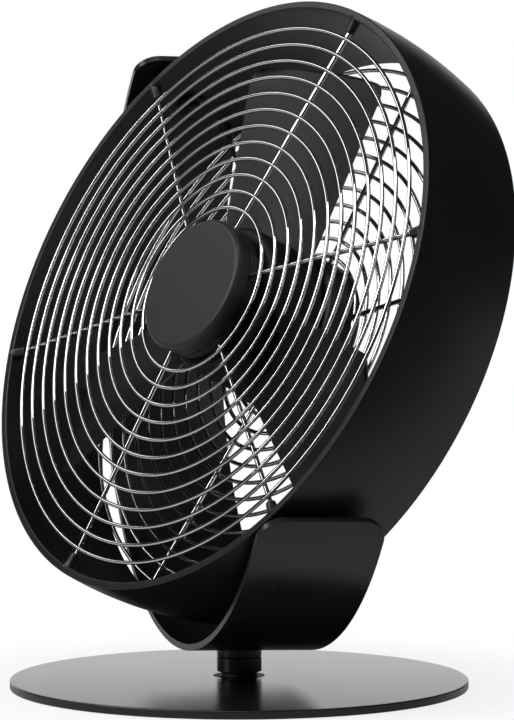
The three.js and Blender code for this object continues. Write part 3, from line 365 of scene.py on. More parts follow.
@once
def chromed_wire():
    """Drawn steel wire with bright chrome: a mirror with faint waviness from drawing. The dark specular tint
    is
    painted shade: it darkens the grazing edges to the black of the room that such a wire mirrors there."""
    wire = (*finish_colours().wire, 1.0)
    # the dark specular tint paints shade on the wire's grazing edges
    inputs = {"Base Color": wire, "Metallic": 1.0, "Specular Tint": linear("#505050")}
    material, tree, shader, place = new_material("Chromed steel wire, bright", inputs)
    grain(tree, shader, place, 500, 0.05, 0.05 * MM)
    mottled(tree, shader, place, 0.02, 0.06, 300)
    return material


@once
def zinc_plated_steel():
    """Cold-headed steel with bright zinc: grey, slightly cloudy."""
    zinc = finish_colours().zinc
    colours = (zinc, lighten(zinc, 0.2), 400)
    return patterned("Zinc-plated steel", (1500, 0.1, 0.04 * MM), colours, (0.25, 0.42, 500), Metallic=1.0)


@once
def black_oxide_steel():
    """Turned steel with a hot black oxide: dark grey, slightly oily sheen."""
    colours = (linear("#1c1c1d"), linear("#262627"), 300)
    name = "Black-oxide steel, turned"
    return patterned(name, (1500, 0.1, 0.04 * MM), colours, (0.35, 0.5, 400), Metallic=0.6)


@once
def soft_rubber():
    """Vulcanised rubber sheet: dull and slightly dusty, with a fine cloth imprint of about 0.8 mm."""
    rubber = finish_colours().rubber
    colours = (rubber, lighten(rubber, 0.02), 90)
    return patterned("Rubber sheet, calendered", (1200, 0.4, 0.1 * MM), colours, (0.75, 0.92, 80))


@once
def enamelled_copper():
    """Copper winding wire under clear enamel: round turns, each with a painted highlight of lighter copper
    along its crest. They are drawn about 1 mm apart, twice as coarse as such wire, so that they show."""
    inputs = {"Metallic": 0.9, "Roughness": 0.28, "Coat Weight": 0.4}
    material, tree, shader, place = new_material("Enamelled copper winding", inputs)
    crest_highlight_share = ridges(tree, shader, place, 320, 1.5, 0.7, 0.3 * MM, "DIAGONAL")
    # painted highlight: the crest of each turn is coloured a lighter copper by its height
    blended(tree, shader, crest_highlight_share, finish_colours().copper, linear("#d9935f"))
    return material


@once
def laminated_steel():
    """Stamped electrical steel in a stack: grey edges with dark lines between them. They are drawn about
    1 mm apart, twice as coarse as such sheets, so that they show."""
    inputs = {"Base Color": linear("#6f7478"), "Metallic": 1.0}
    material, tree, shader, place = new_material("Electrical steel laminations, stamped", inputs)
    ridges(tree, shader, place, 300, 0.0, 0.4, 0.1 * MM, "Y")
    mottled(tree, shader, place, 0.35, 0.5, 300)
    return material


@once
def sintered_ferrite():
    """Pressed and sintered ferrite: charcoal grey, matt and slightly gritty."""
    colours = (linear("#2b2a2a"), linear("#3a3938"), 300)
    return patterned("Ferrite, sintered", (2000, 0.5, 0.1 * MM), colours, (0.55, 0.75, 200))


@once
def solder_resist():
    """Glass-epoxy laminate under green solder resist: glossy, with a faint glass weave of about 1 mm."""
    green = finish_colours().laminate
    name = "Glass-epoxy laminate, solder resist"
    return patterned(name, (1000, 0.15, 0.05 * MM), (green, lighten(green, 0.05), 200), (0.25, 0.4, 200))


# ---------------------------------------------------------------- mesh makers
def object_from(name, mesh):
    made = bpy.data.objects.new(name, mesh)
    bpy.context.scene.collection.objects.link(made)
    return made


def clean(mesh):
    """Merges a mesh's doubles and points its faces outwards."""
    form = bmesh.new()
    form.from_mesh(mesh)
    bmesh.ops.remove_doubles(form, verts=form.verts, dist=1e-7)
    bmesh.ops.dissolve_degenerate(form, edges=form.edges, dist=1e-8)
    bmesh.ops.recalc_face_normals(form, faces=form.faces)
    form.to_mesh(mesh)
    form.free()


def object_of(name, form):
    """An object from a bmesh, which is freed."""
    mesh = bpy.data.meshes.new(name)
    form.to_mesh(mesh)
    form.free()
    return object_from(name, mesh)


def mesh_from(name, points, faces):
    mesh = bpy.data.meshes.new(name)
    mesh.from_pydata([tuple(p) for p in points], [], faces)
    return mesh


def closed_piece(name, points, faces):
    """An object from the points and faces of a closed shape."""
    mesh = mesh_from(name, points, faces)
    clean(mesh)
    return object_from(name, mesh)


def grid(rows, columns):
    """The faces of a sheet whose points run row by row."""
    wide = columns + 1
    corners = [i * wide + j for i in range(rows) for j in range(columns)]
    return [(a, a + 1, a + wide + 1, a + wide) for a in corners]


def rounded(corners, steps):
    """Corners (r, z) or (r, z, fillet) as points of an outline, each rounded by its fillet in some steps."""
    points = []
    for i, (r, z, *fillet) in enumerate(corners):
        here = Vector((r, z))
        if not fillet:
            points.append(here)
            continue
        back = (Vector(corners[i - 1][:2]) - here).normalized()
        ahead = (Vector(corners[(i + 1) % len(corners)][:2]) - here).normalized()
        half = back.angle(ahead) / 2
        centre = here + (back + ahead).normalized() * fillet[0] / math.sin(half)
        first = here + back * fillet[0] / math.tan(half) - centre
        last = here + ahead * fillet[0] / math.tan(half) - centre
        sweep = first.angle_signed(last)
        points += [centre + Matrix.Rotation(-sweep * k / steps, 2) @ first for k in range(steps + 1)]
    return points


def turned(name, corners, steps=LATHE_STEPS, rounding=4):
    """A closed outline of corners turned about Z in some steps, its fillets in rounding steps. Corners at
    r = 0 close on the axis."""
    outline = rounded(corners, rounding)
    count = len(outline)
    points, faces = [], []
    for k in range(steps):
        turn = 2 * math.pi * k / steps
        points += [(p.x * math.cos(turn), p.x * math.sin(turn), p.y) for p in outline]
        here, there = k * count, ((k + 1) % steps) * count
        for i in range(count):
            j = (i + 1) % count
            if max(outline[i].x, outline[j].x) > 1e-9:
                faces.append((here + i, here + j, there + j, there + i))
    return closed_piece(name, points, faces)


def lid(name, radius, wall, face, fillet, floor, rim, rim_fillet, rounding):
    """A round lid with a rounded face at one end and the edge of its wall, the rim, at the other."""
    inner = radius - wall
    return turned(name, [
        (0, face), (radius, face, fillet), (radius, rim, rim_fillet), (inner, rim, 0.1 * MM), (inner, floor),
        (0, floor),
    ], rounding=rounding)


def plain(name, radius, low, high, steps=SMALL_STEPS):
    """A round bar along Z."""
    return turned(name, [(0, low), (radius, low), (radius, high), (0, high)], steps)


def shift(x=0.0, y=0.0, z=0.0):
    return Matrix.Translation((x, y, z))


def spin(turn, axis):
    return Matrix.Rotation(turn, 4, axis)


def facing(x, y, z):
    """The turn that brings the axes to these three directions."""
    return Matrix((x, y, z)).transposed().to_4x4()


def moved(made, *steps):
    """Applies matrices to the mesh, the first one first."""
    for step in steps:
        made.data.transform(step)
    return made


def apply_modifiers(made):
    """Turns what the modifiers make into a plain mesh and removes them."""
    bpy.context.view_layer.update()
    evaluated = made.evaluated_get(bpy.context.evaluated_depsgraph_get())
    mesh = bpy.data.meshes.new_from_object(evaluated)
    made.modifiers.clear()
    made.data = mesh
    mesh.name = made.name
    return made


def cut_with(made, *tools):
    """Cuts closed solids out of a piece."""
    for tool in tools:
        cutter = made.modifiers.new("cut", "BOOLEAN")
        cutter.operation, cutter.object, cutter.solver = "DIFFERENCE", tool, "EXACT"
    apply_modifiers(made)
    for tool in tools:
        bpy.data.objects.remove(tool)
    return made


def cross_recess(depth, reach, place):
    """The two bars that cut the cross-shaped recess of a screw head, which narrows towards their +Z end."""
    arms = []
    thin, taper = reach * 0.24, 0.55
    for sides in ((reach, thin), (thin, reach)):
        form = bmesh.new()
        bmesh.ops.create_cube(form, size=2.0, matrix=Matrix.Diagonal((*sides, depth, 1.0)))
        for vert in form.verts:
            if vert.co.z > 0:
                vert.co.xy *= taper
        arms.append(moved(object_of("recess", form), place))
    return arms


def joined(name, *parts):
    """Several objects as one."""
    form = bmesh.new()
    for part in parts:
        form.from_mesh(part.data)
        bpy.data.objects.remove(part)
    return object_of(name, form)


def finish_piece(made, body, material, slot, *nodes, bevel=0.0):
    """Gives a piece its material, smooth shading and body, and hides the nodes it stands for. Its slot is not
    used.
    """
    made.data.materials.clear()
    made.data.materials.append(material)
    made.data.polygons.foreach_set("material_index", [0] * len(made.data.polygons))
    made.data.polygons.foreach_set("use_smooth", [True] * len(made.data.polygons))
    if bevel:
        edge = made.modifiers.new("edges", "BEVEL")
        edge.width, edge.segments, edge.limit_method, edge.angle_limit = bevel, 2, "ANGLE", SHARP
    else:
        made.data.set_sharp_from_angle(angle=SHARP)
    made.modifiers.new("shading", "WEIGHTED_NORMAL").keep_sharp = True
    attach(made, body)
    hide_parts(*nodes)


def finish_nodes(material, *names):
    """Gives carried-over nodes a procedural material."""
    for name in names:
        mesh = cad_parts[name].data
        mesh.materials.clear()
        mesh.materials.append(material)


# ---------------------------------------------------------------- geometry nodes
def tree_inputs(tree, **sockets):
    """Declares a tree's inputs and its geometry output, and gives the inputs' sockets inside the tree."""
    for name, kind in sockets.items():
        tree.interface.new_socket(name.replace("_", " "), in_out="INPUT", socket_type="NodeSocket" + kind)
    tree.interface.new_socket("Geometry", in_out="OUTPUT", socket_type="NodeSocketGeometry")
    return add(tree, "NodeGroupInput").outputs


def tree_end(tree, geometry, material):
    """Realises what the tree made and gives it its material."""
    real = add(tree, "GeometryNodeRealizeInstances", [geometry])
    smooth = add(tree, "GeometryNodeSetShadeSmooth", [real])
    finish = add(tree, "GeometryNodeSetMaterial", {"Geometry": smooth, "Material": material})
    add(tree, "NodeGroupOutput", [finish])
    return tree


def turn_by_index(tree, count, phase):
    """The rotation of copy number i out of count round Z."""
    index = add(tree, "GeometryNodeInputIndex")
    share = add(tree, "ShaderNodeMath", [index, count], operation="DIVIDE")
    turn = add(tree, "ShaderNodeMath", [share, 2 * math.pi, phase], operation="MULTIPLY_ADD")
    return add(tree, "ShaderNodeCombineXYZ", {"Z": turn})


@once
def copies_tree():
    """Copies of the object's own mesh round its Z axis."""
    tree = bpy.data.node_groups.new("Copies round an axis", "GeometryNodeTree")
    given = tree_inputs(tree, Geometry="Geometry", Count="Int", Phase="Float", Material="Material")
    points = add(tree, "GeometryNodePoints", {"Count": given["Count"]})
    turn = turn_by_index(tree, given["Count"], given["Phase"])
    inputs = {"Points": points, "Instance": given["Geometry"], "Rotation": turn}
    return tree_end(tree, add(tree, "GeometryNodeInstanceOnPoints", inputs), given["Material"])


@once
def grille_tree():
    """Rings of wire welded on straight spokes that rise towards the middle and end in a small ring."""
    tree = bpy.data.node_groups.new("Wire grille", "GeometryNodeTree")
    given = tree_inputs(
        tree, Geometry="Geometry", Rings="Int", Outer_ring="Float", Pitch="Float", Ring_wire="Float",
        Ring_height="Float", Ring_rise="Float", Spokes="Int", Spoke_wire="Float", Spoke_start="Vector",
        Spoke_end="Vector", Material="Material",
    )
    index = add(tree, "GeometryNodeInputIndex")
    inward = add(tree, "ShaderNodeMath", [index, given["Pitch"]], operation="MULTIPLY")
    radius = add(tree, "ShaderNodeMath", [given["Outer ring"], inward], operation="SUBTRACT")
    rise = [inward, given["Ring rise"], given["Ring height"]]
    height = add(tree, "ShaderNodeMath", rise, operation="MULTIPLY_ADD")
    ring_place = add(tree, "ShaderNodeCombineXYZ", {"Z": height})
    ring_size = add(tree, "ShaderNodeCombineXYZ", [radius, radius, 1.0])
    points = add(tree, "GeometryNodePoints", {"Count": given["Rings"], "Position": ring_place})
    circle = add(tree, "GeometryNodeCurvePrimitiveCircle", {"Resolution": 180, "Radius": 1.0})
    inputs = {"Points": points, "Instance": circle, "Scale": ring_size}
    rings = add(tree, "GeometryNodeInstanceOnPoints", inputs)

    points = add(tree, "GeometryNodePoints", {"Count": given["Spokes"]})
    ends = {"Start": given["Spoke start"], "End": given["Spoke end"]}
    line = add(tree, "GeometryNodeCurvePrimitiveLine", ends)
    inputs = {"Points": points, "Instance": line, "Rotation": turn_by_index(tree, given["Spokes"], 0.0)}
    paths = add(tree, "GeometryNodeJoinGeometry", [add(tree, "GeometryNodeInstanceOnPoints", inputs)])
    root = add(tree, "ShaderNodeSeparateXYZ", [given["Spoke start"]]).outputs
    circle = add(tree, "GeometryNodeCurvePrimitiveCircle", {"Resolution": 96, "Radius": root["X"]})
    root_place = add(tree, "ShaderNodeCombineXYZ", {"Z": root["Z"]})
    root_ring = add(tree, "GeometryNodeTransform", {"Geometry": circle, "Translation": root_place})
    tree.links.new(root_ring.outputs[0], paths.inputs[0])

    wires = add(tree, "GeometryNodeJoinGeometry")
    for curves, wire, capped in ((rings, "Ring wire", False), (paths, "Spoke wire", True)):
        real = add(tree, "GeometryNodeRealizeInstances", [curves])
        section = add(tree, "GeometryNodeCurvePrimitiveCircle", {"Resolution": 12, "Radius": given[wire]})
        inputs = {"Curve": real, "Profile Curve": section, "Fill Caps": capped}
        tree.links.new(add(tree, "GeometryNodeCurveToMesh", inputs).outputs[0], wires.inputs[0])
    return tree_end(tree, wires, given["Material"])


def grow(made, tree, **values):
    """Runs a tree on an object with its named inputs and keeps the result as a plain mesh."""
    modifier = made.modifiers.new(tree.name, "NODES")
    modifier.node_group = tree
    for item in tree.interface.items_tree:
        key = item.name.replace(" ", "_")
        if item.in_out == "INPUT" and key in values:
            modifier[item.identifier] = values[key]
    return apply_modifiers(made)


def copied_round(made, count, material, phase):
    return grow(made, copies_tree(), Count=count, Phase=phase, Material=material)


# ---------------------------------------------------------------- places worked out from the sizes
def sizes(*names):
    """The property groups of those names."""
    return [getattr(bpy.context.scene, "fan_" + name) for name in names]


def barrel_radius(z):
    """Outer radius of the housing at height z in the head's frame."""
    head = bpy.context.scene.fan_head
    axis = head.rim_radius - math.sqrt(head.barrel**2 - head.peak**2)
    return axis + math.sqrt(head.barrel**2 - (head.front - head.peak - z) ** 2)


def inner_radius(z):
    """Inner radius of the housing, whose wall thins towards the rear."""
    head = bpy.context.scene.fan_head
    share = (z - head.front + head.depth) / head.depth
    return barrel_radius(z) - head.rear_wall - (head.wall - head.rear_wall) * share


def widest_radius():
    """Outer radius of the housing where it is widest."""
    head = bpy.context.scene.fan_head
    return barrel_radius(head.front - head.peak)


def band_radii():
    """Inner and outer radius of the band's arc, clear of the housing's widest place."""
    band = bpy.context.scene.fan_band
    inner = widest_radius() + band.gap
    return inner, inner + band.thickness


def pivot_height():
    """Height of the tilt axis over the table, before the band leans back."""
    return bpy.context.scene.fan_band.bottom + band_radii()[1]


def leaned():
    """Leans what stands upright back with the band."""
    band = bpy.context.scene.fan_band
    return shift(z=band.bottom) @ spin(-band.lean, "X") @ shift(z=-band.bottom)


def head_place():
    """The head's frame in the world."""
    band, head = sizes("band", "head")
    tilt_axis = Vector((math.cos(band.slope), 0, -math.sin(band.slope)))
    air_axis = Matrix.Rotation(-head.tilt, 3, tilt_axis) @ Vector((0, -1, 0))
    return leaned() @ shift(z=pivot_height()) @ facing(tilt_axis, air_axis.cross(tilt_axis), air_axis)


def outer_ring():
    """Radius of a grille's outermost ring."""
    head, grille = sizes("head", "grille")
    return inner_radius(head.front) - grille.to_wall


def spoke_turn(number, count):
    """Turns what lies along +X to spoke number out of count."""
    return spin(bpy.context.scene.fan_grille.phase + 2 * math.pi * number / count, "Z")


def ring_to_spoke():
    """From a ring's centre line to that of the spokes it is welded on."""
    grille = bpy.context.scene.fan_grille
    return grille.ring_wire + grille.spoke_wire - grille.weld


def spoke_height(front, r):
    """Height of a spoke's centre line at radius r, for the front or the rear grille."""
    head, grille = sizes("head", "grille")
    rise = (outer_ring() - r) * grille.rise
    if front:
        return head.front - grille.front_recess - ring_to_spoke() + rise
    return head.front - head.depth + grille.rear_recess - rise


def spoke_paths(front, start, end):
    """Round bars along the spokes, to be cut out of the pieces that clamp them."""
    grille = bpy.context.scene.fan_grille
    rise = math.atan(grille.rise)
    along = spin(math.pi / 2 + (rise if front else -rise), "Y")
    up = shift(z=spoke_height(front, 0))
    tools = []
    for k in range(grille.spokes):
        path = plain("path", grille.spoke_wire + 0.2 * MM, start, end, 24)
        tools.append(moved(path, along, spoke_turn(k, grille.spokes), up))
    return tools


def along_x(turn, z):
    """Lays what is built along Z along the radius at an angle, at height z."""
    return shift(z=z) @ spin(turn, "Z") @ spin(math.pi / 2, "Y")


def to_arc(turn):
    """Turns straight down at the pivot height to a place on the band's arc."""
    return leaned() @ shift(z=pivot_height()) @ spin(-turn, "Y")


# ---------------------------------------------------------------- pieces
class FAN_OT_base(bpy.types.Operator):
    """Builds the base plate, the swivel bush round the post's foot and the rubber sheet's finish"""

    bl_idname = "fan.base"
    bl_label = "Base"

    def execute(self, context):
        base = context.scene.fan_base
        bore, recess_depth, pocket_depth, crisp, soft = mm(5.9, 2.5, 0.8, 0.15, 0.25)
        top = base.lift + base.rim + base.crown
        crown_radius = (base.radius**2 + base.crown**2) / (2 * base.crown)

        def crown(r):
            """The point on the crowned top at radius r."""
            return r, top - crown_radius + math.sqrt(crown_radius**2 - r * r)

        crown_rings = (0.97, 0.85, 0.7, 0.55, 0.4, 0.25)  # shares of the radius that have a ring of points
        recess_top = base.lift + recess_depth
        pad_edge, pad_top = base.pad_radius + SEAT, base.pad_thickness + SEAT
        floor = top - pocket_depth
        plate = turned("base_plate_turned", [
            (bore, recess_top), (base.under_recess, recess_top), (base.under_recess, pad_top),
            (pad_edge, pad_top), (pad_edge, base.lift, crisp), (base.radius, base.lift, base.edge),
            (*crown(base.radius), base.edge),
            *[crown(base.radius * share) for share in crown_rings],
            (*crown(base.pocket_radius), soft), (base.pocket_radius, floor), (bore, floor),
        ], steps=240)
        finish_piece(plate, "base", smooth_powder_coated_steel(), "satin_black_steel", "base_plate")

        shaft, sleeve, collar, soft = mm(2.8, 5.6, 6.2, 0.2)
        brim = base.pocket_radius - SEAT
        head = top + base.post_gap - SEAT
        bush = turned("swivel_bush_moulded", [
            (shaft, recess_top), (sleeve, recess_top), (sleeve, floor + SEAT), (brim, floor + SEAT),
            (brim, top, soft), (collar, top, soft), (collar, head), (shaft, head),
        ], steps=96, rounding=3)
        finish_piece(bush, "base", nylon(), "nylon", "swivel_bush")
        finish_nodes(soft_rubber(), "foot_pad")
        return DONE


class FAN_OT_post(bpy.types.Operator):
    """Builds the post, hollowed to the band's underside, and finishes the swivel screw and washer"""

    bl_idname = "fan.post"
    bl_label = "Post"

    def execute(self, context):
        base, band = sizes("base", "band")
        bore, bore_depth, soft, crisp = mm(2.8, 5, 0.2, 0.08)
        radius = base.post_radius
        foot = base.lift + base.rim + base.crown + base.post_gap
        groove = band.bottom - base.groove_drop
        head = band.bottom + band.thickness / 3
        half = base.groove / 2
        post = turned("post_turned", [
            (0, foot + bore_depth), (bore, foot + bore_depth), (bore, foot, soft),
            (radius, foot, base.post_foot), (radius, groove - half, crisp), (radius - base.groove, groove),
            (radius, groove + half, crisp), (radius, head), (0, head),
        ], steps=96)
        saddle = plain("saddle", band_radii()[1] + SEAT, -2 * radius, 2 * radius, 360)
        cut_with(post, moved(saddle, spin(math.pi / 2, "X"), shift(z=pivot_height()), leaned()))
        finish_piece(post, "bracket", powder_coated_steel(), "satin_black_steel", "post")
        finish_nodes(zinc_plated_steel(), "swivel_screw", "swivel_washer")
        return DONE


class FAN_OT_band(bpy.types.Operator):
    """Builds the bent band with its rounded ends, countersunk holes and screws"""

    bl_idname = "fan.band"
    bl_label = "Band"

    def execute(self, context):
        band = context.scene.fan_band
        sheet = self.sheet(band)
        cut_with(sheet, *[self.screw("hole", side, SEAT) for side in (-1, 1)])
        clean(sheet.data)
        moved(sheet, leaned())
        coat = powder_coated_steel()
        finish_piece(sheet, "bracket", coat, "satin_black_steel", "bracket_band", bevel=band.edge)
        head = shift(z=band.bottom + band.thickness - SEAT) @ spin(math.pi, "X")
        for number, side in enumerate((-1, 1), 1):
            screw = self.screw(f"band_screw_{number}_headed", side, 0)
            cut_with(screw, *cross_recess(*mm(1.3, 1.6), self.beside(side) @ head))
            moved(screw, leaned())
            finish_piece(screw, "bracket", zinc_plated_steel(), "steel", f"band_screw_{number}")
        return DONE

    def beside(self, side):
        """From the middle of the band to one of its screws."""
        return shift(y=side * 5 * MM)

    def sheet(self, band):
        """The bent sheet: rows of points across it, closer together along its rounded ends, given a wall."""
        inner, outer = band_radii()
        middle, height, half = (inner + outer) / 2, pivot_height(), band.width / 2
        low = math.pi / 2 - band.slope
        start, end = low - math.pi - band.high_reach / outer, low + band.low_reach / outer
        corner = band.corner / outer
        crest_highlight_share = [math.radians(7.5) * k for k in range(13)]
        rounding = [(corner * (1 - math.cos(t)), half - band.corner * (1 - math.sin(t))) for t in crest_highlight_share]
        length = end - start - 2 * corner
        count = int(length / math.radians(1.2))
        rows = [(start + along, wide) for along, wide in rounding]
        rows += [(start + corner + length * k / count, half) for k in range(1, count)]
        rows += [(end - along, wide) for along, wide in reversed(rounding)]
        columns = 8
        points = []
        for turn, wide in rows:
            for j in range(columns + 1):
                across = wide * (2 * j / columns - 1)
                points.append((middle * math.sin(turn), across, height - middle * math.cos(turn)))
        mesh = mesh_from("band", points, grid(len(rows) - 1, columns))
        sheet = object_from("bracket_band_bent", mesh)
        wall = sheet.modifiers.new("wall", "SOLIDIFY")
        wall.thickness, wall.offset, wall.use_even_offset = band.thickness, 0.0, True
        return apply_modifiers(sheet)

    def screw(self, name, side, clearance):
        """A countersunk screw, or with a clearance the hole for it."""
        band = bpy.context.scene.fan_band
        shank, head, length, sliver = mm(1.25, 2.7, 6, 0.001)
        inner = band.bottom + band.thickness
        cone_top = inner - SEAT
        brim = cone_top + 4 * clearance + sliver
        shank, head = shank + clearance, head + clearance
        made = turned(name, [
            (0, inner - length), (shank, inner - length), (shank, cone_top - head + shank), (head, cone_top),
            (head, brim), (0, brim),
        ], steps=SMALL_STEPS)
        return moved(made, self.beside(side))


class FAN_OT_tilt_pivots(bpy.types.Operator):
    """Builds the pins, friction washers and bushes of the tilt axis"""

    bl_idname = "fan.tilt_pivots"
    bl_label = "Tilt pivots"

    def execute(self, context):
        pin_r, neck, flange_r, bush_r, bush_wall = mm(3, 2.4, 6, 7, 1.1)
        flange, brim, clip, pin_end, soft, crisp = mm(1.5, 1.2, 0.8, 1.3, 0.3, 0.1)
        flange_outer = math.sqrt(band_radii()[0] ** 2 - flange_r**2) - SEAT
        flange_inner = flange_outer - flange
        bush_inner = widest_radius() + SEAT
        bush_outer = bush_inner + brim
        bore = pin_r + SEAT
        tube = bore + bush_wall
        bush_end = inner_radius(0) - SEAT
        clip_outer = bush_end - SEAT
        clip_inner = clip_outer - clip
        tail = clip_inner - pin_end
        low = math.pi / 2 - context.scene.fan_band.slope
        for end, arc, turn in (("low", low, 0), ("high", low - math.pi, math.pi)):
            place = (spin(math.pi, "X"), to_arc(arc))
            pin = turned(f"pivot_pin_{end}_turned", [
                (0, tail), (pin_r, tail, soft), (pin_r, clip_inner - SEAT), (neck, clip_inner - SEAT),
                (neck, clip_outer + SEAT), (pin_r, clip_outer + SEAT), (pin_r, flange_inner),
                (flange_r, flange_inner, soft), (flange_r, flange_outer, soft), (0, flange_outer),
            ], steps=SMALL_STEPS)
            finish_piece(moved(pin, *place), "bracket", black_oxide_steel(), "steel", f"pivot_pin_{end}")
            washer = turned(f"tilt_washer_{end}_cut", [
                (bore, bush_outer + SEAT, crisp), (flange_r, bush_outer + SEAT, crisp),
                (flange_r, flange_inner - SEAT, crisp), (bore, flange_inner - SEAT, crisp),
            ], steps=SMALL_STEPS)
            finish_piece(moved(washer, *place), "bracket", soft_rubber(), "rubber", f"tilt_washer_{end}")
            bush = turned(f"tilt_bush_{end}_moulded", [
                (bore, bush_end), (tube, bush_end, soft), (tube, bush_inner), (bush_r, bush_inner, soft),
                (bush_r, bush_outer, soft), (bore, bush_outer, soft),
            ], steps=SMALL_STEPS)
            moved(bush, along_x(turn, 0), head_place())
            finish_piece(bush, "head", nylon(), "nylon", f"tilt_bush_{end}")
        finish_nodes(black_oxide_steel(), "tilt_clip_low", "tilt_clip_high")
        return DONE


class FAN_OT_housing(bpy.types.Operator):
    """Builds the barrel-shaped housing with the sockets that hold the spokes"""

    bl_idname = "fan.housing"
    bl_label = "Housing"

    def execute(self, context):
        head, grille = sizes("head", "grille")
        rear = head.front - head.depth
        steps = 14
        stations = [head.front - head.depth * k / steps for k in range(1, steps)]
        shell = turned("housing_shell_barrel", [
            (barrel_radius(head.front), head.front, head.edge), *[(barrel_radius(z), z) for z in stations],
            (barrel_radius(rear), rear, head.edge), (inner_radius(rear), rear, head.edge),
            *[(inner_radius(z), z) for z in reversed(stations)],
            (inner_radius(head.front), head.front, head.edge),
        ], steps=256, rounding=5)
        hole = mm(4.7, 95, 120)  # radius, start and end of the bars that cut the pivots' holes
        cut_with(shell, *[moved(plain("hole", *hole), along_x(turn, 0)) for turn in (0, math.pi)])
        sockets = [self.sockets(front, grille) for front in (True, False)]
        shell = joined("housing_shell_barrel", shell, *sockets)
        moved(shell, head_place())
        finish_piece(shell, "head", housing_abs(), "satin_black_housing", "housing_shell")
        return DONE

    def sockets(self, front, grille):
        """The tapered tubes that stand inwards from the wall round the ends of one grille's spokes."""
        play, crisp, soft, taper, flare, root = mm(0.15, 0.1, 0.45, 3, 0.4, 0.8)
        wall = inner_radius(spoke_height(front, outer_ring()))
        mouth = wall - grille.socket_length
        bore = grille.spoke_wire + play
        socket = turned("socket", [
            (bore, mouth, crisp), (grille.socket * 0.92, mouth, soft), (grille.socket, mouth + taper),
            (grille.socket * 1.12, wall - flare), (grille.socket * 1.4, wall + root), (bore, wall + root),
        ], steps=32, rounding=3)
        moved(socket, along_x(0, spoke_height(front, mouth)))
        return copied_round(socket, grille.spokes, housing_abs(), grille.phase)


class FAN_OT_grilles(bpy.types.Operator):
    """Builds the front and rear wire grilles"""

    bl_idname = "fan.grilles"
    bl_label = "Grilles"

    def execute(self, context):
        head, grille = sizes("head", "grille")
        front_root, rear_root = mm(3.8, 4.4)
        pitch = (outer_ring() - head.hub_radius - grille.to_hub) / (grille.rings - 1)
        for name, front, root in (
            ("front_grille", True, head.hub_radius - front_root),
            ("rear_grille", False, head.mount_radius - rear_root),
        ):
            outward = 1 if front else -1
            edge = spoke_height(front, outer_ring())
            reach = inner_radius(edge) - grille.socket_length + grille.engagement
            made = grow(
                object_from(name + "_wires", bpy.data.meshes.new(name)), grille_tree(), Rings=grille.rings,
                Outer_ring=outer_ring(), Pitch=pitch, Ring_wire=grille.ring_wire,
                Ring_height=edge + outward * ring_to_spoke(), Ring_rise=outward * grille.rise,
                Spokes=grille.spokes, Spoke_wire=grille.spoke_wire,
                Spoke_start=(root, 0, spoke_height(front, root)),
                Spoke_end=(reach, 0, spoke_height(front, reach)), Material=chromed_wire(),
            )
            moved(made, spoke_turn(0, 1), head_place())
            finish_piece(made, "head", chromed_wire(), "chromed_wire", name)
        return DONE


class FAN_OT_front_hub(bpy.types.Operator):
    """Builds the round hub that clamps the front spokes"""

    bl_idname = "fan.front_hub"
    bl_label = "Front hub"

    def execute(self, context):
        head, grille = sizes("head", "grille")
        wall, rim, back_edge = mm(1.8, 0.25, 0.6)
        radius = head.hub_radius
        face, back = head.front + head.hub_ahead, head.front - head.hub_behind
        split = spoke_height(True, radius - wall / 2)
        cap = lid("hub_cap_moulded", radius, wall, face, head.hub_fillet, face - wall, split, rim, 8)
        ring = lid("hub_back_moulded", radius, wall, back, back_edge, back + wall, split - SEAT, rim, 5)
        for made in (cap, ring):
            cut_with(made, *spoke_paths(True, *mm(15, 40)))
        bore, post, soft, circle = mm(1.5, 3, 0.2, 12)
        foot, root = back + wall + SEAT, face - wall / 2
        corners = [(bore, foot), (post, foot, soft), (post, root), (bore, root)]
        boss = turned("boss", corners, steps=24, rounding=2)
        between = grille.phase + math.pi / grille.spokes
        bosses = copied_round(moved(boss, shift(circle)), 3, hub_abs(), between)
        cap = joined(cap.name, cap, bosses)
        for made, node in ((cap, "hub_cap"), (ring, "hub_back")):
            finish_piece(moved(made, head_place()), "head", hub_abs(), "black_plastic", node)
        finish_nodes(zinc_plated_steel(), "hub_screw_1", "hub_screw_2", "hub_screw_3")
        return DONE


